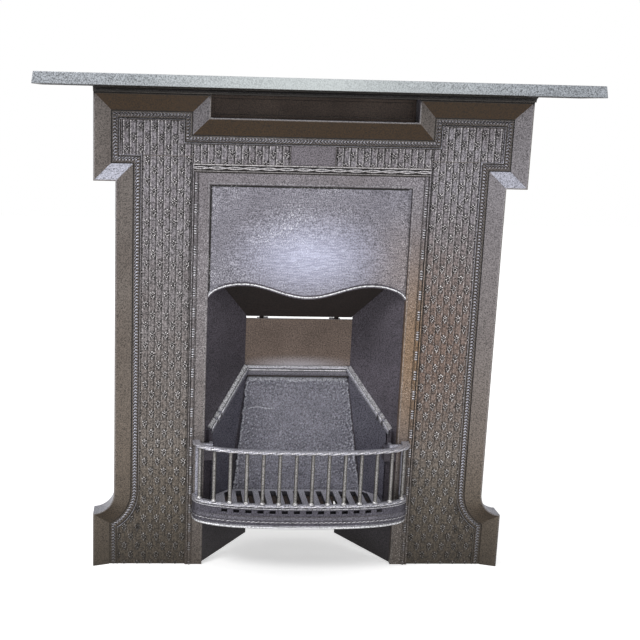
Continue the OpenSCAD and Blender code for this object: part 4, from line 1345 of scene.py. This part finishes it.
@dataclass
class Hood:
    """The canopy plate: crowned, with a shaped lower edge and a rolled lip."""

    half: float = 181.9
    top: float = 726.0
    face: float = 12.0
    crown: float = 3.2
    joint: float = 3.6  # width of the dark joint round the plate
    middle: float = 521.0  # height of the lower edge's middle
    rise: float = 23.5  # from there up to the crests
    crest: float = 118.0  # distance of a crest from the middle
    end: float = 184.0  # where the fall beyond a crest would stand upright
    fall: float = 30.0
    lip_half: float = 182.2
    lip_limit: float = 182.3  # no point of the lip goes past this
    lip_up: float = 3.4  # from the lower edge up to the lip's middle
    lip_depth: float = 11.4
    lip_high: float = 3.5  # half its height
    lip_deep: float = 4.7  # half its depth

    def edge(self, x: Array) -> Array:
        """Height of the lower edge: a cosine from its middle up to the crests, then a quarter ellipse down.

        Args:
            x: Distance across.

        Returns:
            The height.
        """
        a = np.abs(x)
        wave = self.middle + self.rise * (1 - np.cos(np.pi * np.minimum(a, self.crest) / self.crest)) / 2
        past = np.clip((a - self.crest) / (self.end - self.crest), 0, 1)
        fallen = self.middle + self.rise - self.fall * (1 - np.sqrt(1 - past**2))
        return np.where(a < self.crest, wave, fallen)

    def crowned(self) -> Array:
        """The face: crowned by the product of two powers, one across and one up, with a dark joint round it.

        The dark joint is painted fainter on the right, where the light from the left falls into it.

        Returns:
            Array of 1 x columns x points x 4.
        """
        side = np.array([0.0, 1.2, 2.2, 3.1, 3.9])  # fine steps over the joint, as at the top
        inner = self.half - 6
        x = np.concatenate([side - self.half, np.linspace(-inner, inner, 91), (self.half - side)[::-1]])
        share = np.concatenate([np.linspace(0, 0.97, 47), [0.98, 0.9845, 0.989, 1.0]])[None]
        low = self.edge(x)[:, None] + 3.0
        gz = low + (self.top - low) * share
        gx = np.broadcast_to(x[:, None], gz.shape)
        across = np.clip(1 - (np.abs(gx) / self.half) ** 2.6, 0, 1)
        up = 1 - share**2.4
        near = np.minimum(self.half - np.abs(gx), self.top - gz)
        joint = np.clip((self.joint - near) / 0.9, 0, 1)
        depth = self.face - 0.5 + 0.2 * joint - self.crown * across * up
        # the joint painted fainter on the right, as the light from the left falls there
        wear_and_shade = -joint * np.where(gx > self.half - 5.0, 0.35, 1.0)
        front = np.stack([gx, depth, gz, wear_and_shade], axis=-1)
        back = np.stack([gx, np.full_like(depth, self.face + 1.5), gz, wear_and_shade], axis=-1)[:, ::-1]
        return np.concatenate([front, back], axis=1)[None]

    def lip(self) -> Array:
        """The rolled lip: an ellipse carried along the lower edge, with a highlight painted on top of its
        front.

        Returns:
            Array of 1 x stations x points x 4.
        """
        outer = np.linspace(self.crest, self.lip_half, 34)
        x = np.concatenate([-outer[::-1], np.linspace(-self.crest, self.crest, 70)[1:-1], outer])
        z = self.edge(x) + self.lip_up
        a = circle(16)[None]
        tangent = np.gradient(np.stack([x, z], axis=1), axis=0)
        tangent /= np.linalg.norm(tangent, axis=1, keepdims=True)
        high = self.lip_high * np.cos(a)
        size = (len(x), a.size)
        ring = [
            np.clip(x[:, None] - tangent[:, 1:] * high, -self.lip_limit, self.lip_limit),
            np.broadcast_to(self.lip_depth - self.lip_deep * np.sin(a), size),
            z[:, None] + tangent[:, :1] * high,
            np.broadcast_to(np.clip(1.6 * np.sin(a - 0.5) ** 3, -1, 1), size),
        ]
        return np.stack(ring, axis=-1)[None]

    def build(self) -> None:
        """Dresses the plate and lays the crowned face and the lip over it."""
        soften("hood_plate", FIREBOX_IRON, 0.8)
        make_piece("hood_face", [self.crowned()], HOOD_IRON)
        make_piece("hood_lip", [self.lip()], LIP_IRON)


# ---------------------------------------------------------------- firebox


@dataclass
class Firebox:
    """Cheeks, side ledges, back ledge, rough firebrick and the plates and bearers round them."""

    mouth: float = 183.0
    frame_back: float = 20.0
    turn: float = 134.0  # degrees, the right cheek's line in plan
    run: float = 114.3  # length of that line
    ledge_start: float = 10.0
    ledge_low: float = 259.0
    ledge_high: float = 372.0
    ledge_joints: tuple[float, float] = (36.0, 25.0)  # where the ledge's castings meet, along the cheek
    back_half: float = 97.0
    brick_head: float = 103.0  # half the brick's width, and its depth, where it meets the cheeks' ends
    brick_splay: float = 0.964  # how much wider each side is for each millimetre further forward
    brick_gap: float = 1.4  # between the brick and the cheek
    brick_heights: tuple[float, ...] = (120.0, 210.0, 350.0)  # the foot, the knee and the head
    brick_depths: tuple[float, ...] = (71.6, 84.6, 103.6)
    brick_inner: float = 101.0  # half the width of the brick's body behind its face
    brick_shoulder: float = 104.5  # depth at which that body starts
    brick_back: float = 139.6
    chip: float = 4.5  # how far the edges are broken back
    crack: float = 288.0  # height of the crack
    crack_in: float = 44.0  # where it starts and ends, to the left of the middle
    crack_out: float = 97.0

    def cheek_place(self, run: Array, inward: Array, z: Array) -> Array:
        """Places points against the right cheek.

        Args:
            run: Distance along the cheek's line from the mouth.
            inward: Distance from it into the fire.
            z: Height.

        Returns:
            The points, with X, depth and height last.
        """
        a = math.radians(self.turn)
        x = self.mouth + run * math.cos(a) - inward * math.sin(a)
        depth = self.frame_back + run * math.sin(a) + inward * math.cos(a)
        return np.stack([x, depth, z], axis=-1)

    def side_moulding(self) -> Array:
        """The moulded edge on a side ledge: a bright arris, a pale slope, a groove and a bright bead, their
        brightness partly painted highlight and the groove painted dark as shade.

        The section is carried up the ledge along the cheek, and it is nicked where two castings meet.

        Returns:
            Array of 1 x stations x points x 4.
        """
        profile = np.array(
            [  # distance into the fire, height above the ledge, wear with painted highlight and shade
                (0.2, 2.4, 1.0), (1.4, 2.7, 1.0), (2.4, 2.0, 1.0), (8.0, 0.0, 0.9),
                (8.4, -1.6, -1.0), (9.2, -1.7, -1.0), (9.6, -0.2, 0.6), (10.8, 0.3, 1.0),
                (12.0, -0.4, 0.8), (12.3, -2.0, 0.0), (12.0, -11.0, -0.6), (0.2, -11.0, -0.6),
            ]
        )
        inward, above, wear = profile.T[:, None]
        run = np.linspace(self.ledge_start, self.run - 1.0, 40)[:, None]
        z = self.ledge_low + (self.ledge_high - self.ledge_low) * run / self.run + above
        along = np.broadcast_to(run, z.shape)
        first, second = self.ledge_joints
        joint = (np.abs(along - first) < 1.3) | (np.abs(along - second) < 1.3)
        points = self.cheek_place(along, inward - joint * 1.2, z - joint * 1.2)
        return np.concatenate([points, np.where(joint, -1.0, wear)[..., None]], axis=-1)[None]

    def back_moulding(self) -> Array:
        """The moulded edge of the back ledge: bevel, groove, bright line, brown band, groove, carried across.

        Its ends widen with the cheeks as the section comes forward.

        Returns:
            Array of 1 x ends x points x 4.
        """
        profile = np.array(
            [  # depth, height, wear with painted shade in the grooves
                (103.4, 372.3, 0.2), (100.2, 371.9, 0.7), (97.6, 368.4, 0.5), (96.8, 367.0, -0.9),
                (96.8, 366.2, -1.0), (95.6, 365.4, 0.6), (95.3, 364.2, 1.0), (95.8, 363.0, 0.4),
                (96.8, 362.0, -0.7), (96.5, 360.5, -0.4), (96.3, 354.0, -0.4), (96.9, 353.0, -1.0),
                (97.2, 350.4, -1.0), (103.4, 350.4, -1.0),
            ]
        )
        forward = profile[:, 0].max() - profile[:, 0]
        x = np.array([-1.0, 1.0])[:, None] * (self.back_half + forward * 0.3)
        rest = np.broadcast_to(profile, (2, *profile.shape))
        return np.concatenate([x[..., None], rest], axis=-1)[None]

    def roughness(self, x: Array, z: Array, side: Array, top: Array) -> tuple[Array, Array]:
        """How the brick's face is pitted, broken at its edges and cracked, with crests and its top edge
        painted pale as highlights, and pits and the gaps at its edges painted dark as shade.

        The distance to the nearest edge is a smooth least of the two distances. The pits are the wobble,
        bolder near the edges, the chip falls off inwards as a logistic curve, and the crack and the highlight
        painted on the arris are bell curves.

        Args:
            x: Distance across.
            z: Height.
            side: Distance in from the nearer side.
            top: Distance down from the top.

        Returns:
            How far each point is set back, and its wear and painted shade.
        """
        near = -3.0 * np.log(np.exp(-side / 3.0) + np.exp(-top / 3.0))
        bold = 0.45 + 0.75 * np.exp(-np.maximum(near, 0) / 28) + 0.25 * wobble(x, z, 21, 50, 1)
        rough = 0.7 * wobble(x, z, 4, 60) + 1.1 * bold * wobble(x, z, 7, 3.0, 2)
        chipped = self.chip / (1 + np.exp(near * 1.3))
        crack = np.exp(-(((z - self.crack - 1.6 * np.sin(x / 7)) / 1.1) ** 2))
        crack = crack * np.clip((-self.crack_in - x) / 6, 0, 1) * np.clip((x + self.crack_out) / 6, 0, 1)
        back = np.clip(rough * 0.7 - 0.9 * crack + chipped, -0.9, 6)
        # a highlight painted along the top edge
        arris = np.exp(-(((near - 4.2) / 3.2) ** 2)) * (0.75 + 0.5 * wobble(x, z, 31, 7, 1))
        arris = arris * (top < side + 2)
        # painted shade in the gap at the very edges; pale crests and dark pits from the local relief, painted
        # as highlight and shade
        wear_and_shade = np.where(near < 0.3, -1.0, local_relief(-back, 3, 1.0) + 0.6 * crack + 1.6 * arris)
        return back, np.clip(wear_and_shade, -1, 1)

    def firebrick(self) -> Array:
        """The brick: a leaning face with a knee, between the cheeks, roughened and with broken edges.

        Its depth is joined by straight lines through three heights, and then set back by the roughness.
        The left edge is broken away more than the right one, and most at the foot.

        Returns:
            Array of 1 x rows x points x 4.
        """
        low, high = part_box("firebrick")
        foot, head = low.z / MM, high.z / MM
        rows, columns = 200, 210
        height = np.linspace(foot + 0.2, head - 0.3, rows)[:, None]
        depth = np.interp(height, self.brick_heights, self.brick_depths)
        share = np.linspace(-1, 1, columns)[None]
        half = self.brick_head + np.maximum(0, self.brick_head - depth) * self.brick_splay - self.brick_gap
        x = half * share
        z = np.broadcast_to(height, x.shape)
        rise = (z - foot) / (head - foot)
        side = (1 - np.abs(share)) * half - np.where(x < 0, 10.0 - 7.5 * rise, 1.0)
        side = side + 1.1 * wobble(z, z * 0 + np.sign(x) * 40, 9, 9)
        top = head - 1.2 - z + 0.8 * wobble(x, z * 0, 12, 12)
        back, wear_and_shade = self.roughness(x, z, side, top)
        front = np.stack([x, depth + 0.9 + back, z, wear_and_shade], axis=-1)
        inner = np.broadcast_to(np.array([1.0, -1.0]) * self.brick_inner, (rows, 2))
        up = np.broadcast_to(height, (rows, 2))
        flank, rear = (
            np.stack([inner, np.full((rows, 2), at), up, up * 0], axis=-1)
            for at in (self.brick_shoulder, self.brick_back)
        )
        return np.concatenate([front, flank[:, :1], rear, flank[:, 1:]], axis=1)[None]

    def build(self) -> None:
        """Makes and dresses the firebox."""
        for node in ("left_cheek", "right_cheek", "front_bearer", "left_socket", "right_socket"):
            soften(node, FIREBOX_IRON)
        soften("rear_bearer", DAMPER_IRON)
        for node in ("left_lining", "right_lining"):
            soften(node, LINING_IRON, 0.5)
        soften("upper_back", BACK_IRON)
        soften("back_ledge", LEDGE_IRON, 1.0)
        soften("brick_straps", FIREBOX_IRON, 0.4)
        right = self.side_moulding()
        make_piece("back_ledge_moulding", [self.back_moulding()], LEDGE_IRON)
        make_piece("ledge_mouldings", [right, mirrored(right)], LIP_IRON)
        brick = [self.firebrick()]
        make_piece("rough_firebrick", brick, FIREBRICK_CLAY, ["firebrick"], smooth=60)


# ---------------------------------------------------------------- grate, basket, damper, fastenings


@dataclass
class Grate:
    """The slotted bottom grate that lifts out."""

    def build(self) -> None:
        """Dresses the grate with rounded edges."""
        soften("bottom_grate", GRATE_IRON, 1.2, Body.GRATE)


@dataclass(frozen=True)
class Rail:
    """A rail's outer edge in plan: a bow round the front, with straight ends back to the insert."""

    half: float
    out: float
    back: float = 7.5
    power: float = 2.5  # of the superellipse

    def path(self, steps: int = 96, step: float = 2.2, ends: bool = True) -> tuple[Array, Array]:
        """Follows the bow from right to left: a superellipse, out towards the room.

        Args:
            steps: Number of chords that the bow is first drawn with.
            step: Distance between stations.
            ends: Whether the straight ends are joined on.

        Returns:
            Stations x 2 in plan, and the distance of each from the start.
        """
        t = np.linspace(0, np.pi, steps + 1)
        c, s, share = np.cos(t), np.sin(t), 2 / self.power
        x, y = self.half * np.sign(c) * np.abs(c) ** share, -self.out * np.abs(s) ** share
        curve = np.stack([x, y], axis=1)
        if ends:
            curve = np.concatenate([[[self.half, self.back]], curve, [[-self.half, self.back]]])
        return evenly(curve, step)

    @staticmethod
    def around(path: Array, out: Array, up: Array, wear_and_shade: Array) -> Array:
        """Carries a section round a path in plan.

        A section point sits `out` away from the path, away from the fire, at the height `up`.

        Args:
            path: Stations x 2, in plan, from right to left.
            out: Distances out, points, or stations x points.
            up: Heights, points, or stations x points.
            wear_and_shade: Wear and painted shade, points, or stations x points.

        Returns:
            Array of 1 x stations x points x 4.
        """
        tangent = np.gradient(path, axis=0)
        tangent /= np.linalg.norm(tangent, axis=1, keepdims=True)
        normal = np.stack([-tangent[:, 1], tangent[:, 0]], axis=1)
        out = np.broadcast_to(out, (len(path), np.shape(out)[-1]))
        flat = path[:, None] + normal[:, None] * out[..., None]
        rest = [np.broadcast_to(values, out.shape)[..., None] for values in (up, wear_and_shade)]
        return np.concatenate([flat, *rest], axis=-1)[None]

    def roped(self, radius: float, z: float, lay: float) -> Array:
        """A rope along the rail's outer edge: a circle whose radius follows the strands as they wind.

        Args:
            radius: Radius over the strands.
            z: Height of the rope's middle.
            lay: Distance from one strand to the next along the rope.

        Returns:
            Array of 1 x stations x points x 4.
        """
        path, run = Rail(self.half - radius, self.out - radius, self.back).path()
        a = circle(16)
        r = rope(a[None], run[:, None], radius, lay)
        # strand tops pale and the gaps between them dark: wear, and painted highlight and shade
        wear_and_shade = np.clip((r / radius - 0.89) * 9.0, -1, 1)
        return self.around(path, -r * np.cos(a), z + r * np.sin(a), wear_and_shade)

    def plate(self, section: Sequence[tuple[float, float, float]]) -> Array:
        """The rail's flat part: a section carried round.

        Args:
            section: For each point its distance in from the outer edge, its height and its wear.

        Returns:
            Array of 1 x stations x points x 4.
        """
        path, _ = self.path()
        inward, up, wear_and_shade = np.array(section).T
        return self.around(path, -inward, up, wear_and_shade)


@dataclass
class Basket:
    """The bowed basket front that lifts out: roped rails, bars with nubs, vented apron, and its lip."""

    top: Rail = Rail(205.5, 65.0)
    middle: Rail = Rail(204.5, 57.0)
    bead: Rail = Rail(205.2, 59.4)
    roll: Rail = Rail(204.5, 58.5)
    lip: Rail = Rail(204.5, 60.0)
    axes: Rail = Rail(198.5, 52.5)  # the bow on which the bars' middles stand
    bars: int = 14
    pitch: float = 30.3
    soot_and_shade: float = -1.1  # painted shade at a bar's sides

    def top_parts(self) -> list[Array]:
        """The top rail: a flat with a groove and a flange behind, and a rope along its front.

        Returns:
            The tubes.
        """
        section = (
            (15.0, 245.4, -0.5), (3.4, 245.4, -0.5), (3.4, 249.6, -0.3), (4.4, 250.2, 0.2),
            (5.2, 249.8, -0.8), (5.8, 250.9, 0.25), (13.6, 250.9, 0.25), (15.0, 249.6, 0.1),
        )
        return [self.top.plate(section), self.top.roped(radius=3.1, z=248.1, lay=21.0)]

    def middle_parts(self) -> list[Array]:
        """The middle rail: a bright lower edge, a groove and a flat, and a rope over the edge.

        Returns:
            The tubes.
        """
        section = (
            (12.0, 137.0, -0.7), (1.2, 137.0, -0.5), (0.2, 137.6, 0.9), (0.2, 138.5, 0.9), (1.3, 139.0, -0.3),
            (2.6, 139.2, -0.8), (2.6, 144.0, -0.5), (3.6, 144.9, 0.3), (11.0, 144.9, 0.2), (12.0, 144.0, 0.0),
        )
        return [self.middle.plate(section), self.middle.roped(radius=2.5, z=142.2, lay=17.0)]

    def apron_parts(self) -> list[Array]:
        """The roped bead low on the apron, and the soft roll above it.

        Returns:
            The tubes.
        """
        section = (
            (4.2, 112.0, -0.8), (0.4, 112.4, -0.7), (-0.2, 114.2, -0.45), (-0.2, 116.0, -0.3),
            (0.4, 118.6, -0.3), (1.4, 121.4, -0.45), (2.3, 124.0, -0.8), (4.2, 124.0, -0.8),
        )
        return [self.bead.roped(radius=1.6, z=113.0, lay=9.0), self.roll.plate(section)]

    def lip_part(self) -> Array:
        """The lower lip: a smooth roll with a highlight painted along its front, then a hollow that climbs to
        the apron.

        Returns:
            The tube.
        """
        section = (
            (12.0, 100.4, -0.6), (3.0, 100.2, -0.6), (1.2, 100.5, 0.0), (0.3, 101.3, 0.7), (0.0, 102.4, 1.0),
            (0.3, 103.6, 0.8), (1.3, 104.5, 0.1), (2.2, 104.6, -0.6), (2.6, 104.3, -1.0), (3.0, 105.4, -0.4),
            (3.4, 107.0, 0.1), (3.5, 109.0, -0.3), (12.0, 109.0, -0.3),
        )
        return self.lip.plate(section)

    def bar_shapes(self) -> Array:
        """The bars: a profile of radius against height turned about each bar's own axis.

        They stand at even steps along their bow, with a highlight painted on the side that faces the camera
        and shade painted on their sides.

        Returns:
            Array of bars x rings x points x 4.
        """
        path, run = self.axes.path(400, 0.5, ends=False)
        spots = (np.arange(self.bars) - (self.bars - 1) / 2) * self.pitch + run[-1] / 2
        x, y = (np.interp(spots, run, path[:, k]) for k in (0, 1))
        profile = np.array(
            [  # radius, height, wear, with the nubs' highlights painted pale
                (0.5, 145.1, -0.5), (3.6, 145.1, 0.2), (4.8, 145.8, 1.0), (5.1, 147.0, 1.0),
                (4.7, 148.6, 0.9), (3.9, 149.8, 0.3), (3.4, 150.6, -0.5), (3.5, 152.0, -0.1),
                (3.6, 200.0, 0.0), (3.5, 241.5, 0.0), (3.9, 242.6, -0.4), (3.8, 244.9, -0.8),
                (0.5, 244.9, -0.8),
            ]
        )
        radius, up, wear = profile.T[..., None]
        a = circle(16)
        # a highlight painted on the side that faces the camera, and shade painted on the bars' sides
        front = np.clip(-0.99 * np.sin(a) - 0.14 * np.cos(a), 0, 1)
        side = 0.35 * front**2 + self.soot_and_shade * (1 - front)
        ring = [radius * np.cos(a), radius * np.sin(a), up + 0 * a, np.clip(wear + side, -1, 1)]
        moved = np.stack([x, y, np.zeros_like(x), np.zeros_like(x)], axis=1)
        return np.stack(ring, axis=-1)[None] + moved[:, None, None]

    def build(self) -> None:
        """Makes and dresses the basket."""
        slot, body = Slot.BASKET, Body.BASKET
        make_piece("top_rail_roped", self.top_parts(), BASKET_IRON, ["top_rail"], body)
        make_piece("middle_rail_roped", self.middle_parts(), BASKET_IRON, ["middle_rail"], body)
        soften("apron", APRON_IRON, 0.4, body)
        make_piece("apron_bead", self.apron_parts(), APRON_IRON, body=body)
        make_piece("lip_rail", [self.lip_part()], LIP_IRON, ["bottom_lip"], body)
        make_piece("front_bars", [self.bar_shapes()], BAR_IRON, ["basket_bars"], body)
        soften("end_posts", BASKET_IRON, 0.6, body)
        soften("basket_hooks", BASKET_IRON, 0.3, body)


@dataclass
class Damper:
    """The hinged damper flap and the pin that it swings on."""

    def build(self) -> None:
        """Dresses the flap and its pin."""
        soften("damper_flap", DAMPER_IRON, 0.6, Body.DAMPER)
        soften("flap_pin", BOLT_STEEL, 0.0)


@dataclass
class Fastenings:
    """The bolts at the back."""

    held: tuple[str, ...] = ("shelf", "insert", "hood", "cheek", "back", "strap")

    def build(self) -> None:
        """Dresses the bolts."""
        for part in self.held:
            soften(part + "_bolts", BOLT_STEEL, 0.4)


# ---------------------------------------------------------------- studio


@dataclass
class Studio:
    """Camera, floor, backdrop light and soft lamps."""

    eye: tuple[float, float, float] = (-0.2677, -1.8791, 0.8676)
    yaw: float = 0.0554
    pitch: float = -0.2053
    roll: float = 0.0253
    focal_px: float = 1037.0
    centre_px: float = 217.0
    frame_px: float = 640.0
    film: float = 36.0  # millimetres
    shade_at: tuple[float, float, float] = (0.0, -0.1, 0.0)  # the floor's painted glow is weakest round this spot
    shade_size: float = 0.9  # metres

    def camera(self) -> None:
        """Puts the camera where the photograph was taken."""
        ahead = math.cos(self.pitch)
        fwd = Vector((math.sin(self.yaw) * ahead, math.cos(self.yaw) * ahead, math.sin(self.pitch)))
        level = Vector((math.cos(self.yaw), -math.sin(self.yaw), 0))
        over = level.cross(fwd)
        right = math.cos(self.roll) * level + math.sin(self.roll) * over
        up = -math.sin(self.roll) * level + math.cos(self.roll) * over
        data = bpy.data.cameras.new("camera")
        data.sensor_width = self.film
        data.lens = self.film * self.focal_px / self.frame_px
        data.shift_x = (self.frame_px / 2 - self.centre_px) / self.frame_px
        data.dof.use_dof = False
        shot = bpy.data.objects.new("camera", data)
        rows = [[right[i], up[i], -fwd[i], self.eye[i]] for i in range(3)]
        shot.matrix_world = Matrix(rows + [[0, 0, 0, 1]])
        bpy.context.scene.collection.objects.link(shot)
        bpy.context.scene.camera = shot

    def lamp(self, name: str, spot: Sequence[float], aim: Sequence[float], size: float, watts: float) -> None:
        """Adds one square soft lamp that looks at a point.

        Args:
            name: Name of the lamp.
            spot: Where it hangs.
            aim: The point.
            size: Side of the lamp, in metres.
            watts: Its power.
        """
        data = bpy.data.lights.new(name, "AREA")
        data.size = size
        data.energy = watts
        lamp = bpy.data.objects.new(name, data)
        lamp.location = spot
        lamp.rotation_euler = (Vector(aim) - Vector(spot)).to_track_quat("-Z", "Y").to_euler()
        bpy.context.scene.collection.objects.link(lamp)

    def floor(self) -> None:
        """Lays a plain pale floor that keeps the fireplace's shadow, painted white by a glow that camera and
        reflection rays see, weaker near the fireplace.
        """
        mesh = bpy.data.meshes.new("floor")
        mesh.from_pydata([(-6, -5, 0), (6, -5, 0), (6, 6, 0), (-6, 6, 0)], [], [(0, 1, 2, 3)])
        floor = bpy.data.objects.new("floor", mesh)
        bpy.context.scene.collection.objects.link(floor)
        paint = bpy.data.materials.new("pale floor")
        paint.use_nodes = True
        tree = paint.node_tree
        tree.nodes.clear()
        rays = add(tree, "ShaderNodeLightPath").outputs
        links = {0: rays["Is Camera Ray"], 1: rays["Is Glossy Ray"]}
        seen = add(tree, "ShaderNodeMath", links, operation="MAXIMUM").outputs["Value"]
        links = {0: add(tree, "ShaderNodeTexCoord").outputs["Object"], 1: self.shade_at}
        away = add(tree, "ShaderNodeVectorMath", links, operation="DISTANCE").outputs["Value"]
        # a painted glow on the floor, seen by camera and reflection rays, growing with the distance from the
        # fireplace
        links = {"Value": away, "From Min": 0.05, "From Max": self.shade_size, "To Min": 0.42, "To Max": 0.8}
        far = add(tree, "ShaderNodeMapRange", links).outputs["Result"]
        lift = add(tree, "ShaderNodeMath", {0: seen, 1: far}, operation="MULTIPLY").outputs["Value"]
        links = {"Base Color": linear("#f8f8f8"), "Roughness": 0.9}
        links |= {"Emission Color": linear("#ffffff"), "Emission Strength": lift}
        shader = add(tree, "ShaderNodeBsdfPrincipled", links)
        add(tree, "ShaderNodeOutputMaterial", {"Surface": shader.outputs["BSDF"]})
        mesh.materials.append(paint)

    def world(self) -> None:
        """Sets white where the camera or a reflection looks, and a dimmer even light on the object."""
        world = bpy.data.worlds.new("studio")
        bpy.context.scene.world = world
        world.use_nodes = True
        tree = world.node_tree
        tree.nodes.clear()
        rays = add(tree, "ShaderNodeLightPath").outputs
        seen = rays["Is Camera Ray"]
        for ray in ("Is Glossy Ray", "Is Transmission Ray"):
            seen = add(tree, "ShaderNodeMath", {0: seen, 1: rays[ray]}, operation="MAXIMUM").outputs["Value"]
        links = {"Value": seen, "To Min": 0.34, "To Max": 1.0}
        strength = add(tree, "ShaderNodeMapRange", links).outputs["Result"]
        sky = add(tree, "ShaderNodeBackground", {"Color": linear("#ffffff"), "Strength": strength})
        add(tree, "ShaderNodeOutputWorld", {"Surface": sky.outputs["Background"]})

    def build(self) -> None:
        """Sets the whole studio."""
        self.camera()
        self.floor()
        self.world()
        self.lamp("key", (-1.9, -1.5, 2.5), (0, 0, 0.5), 0.9, 47)
        self.lamp("overhead", (0.4, -1.4, 3.0), (0, 0, 0.4), 2.4, 15)
        self.lamp("front", (0.5, -3.2, 1.3), (0, 0, 0.4), 2.4, 22)
        bpy.context.scene.view_settings.view_transform = "Standard"


def main() -> None:
    """Builds the studio and then the fireplace, one sub-assembly after another."""
    logging.basicConfig(level=logging.INFO, format="%(message)s")
    Studio().build()
    cast = Surround(), Moulding(), MantelShelf(), Insert(), Hood()
    fire = Firebox(), Grate(), Basket(), Damper(), Fastenings()
    for assembly in cast + fire:
        LOG.info("building %s", type(assembly).__name__)
        assembly.build()


if __name__ == "__main__":
    main()
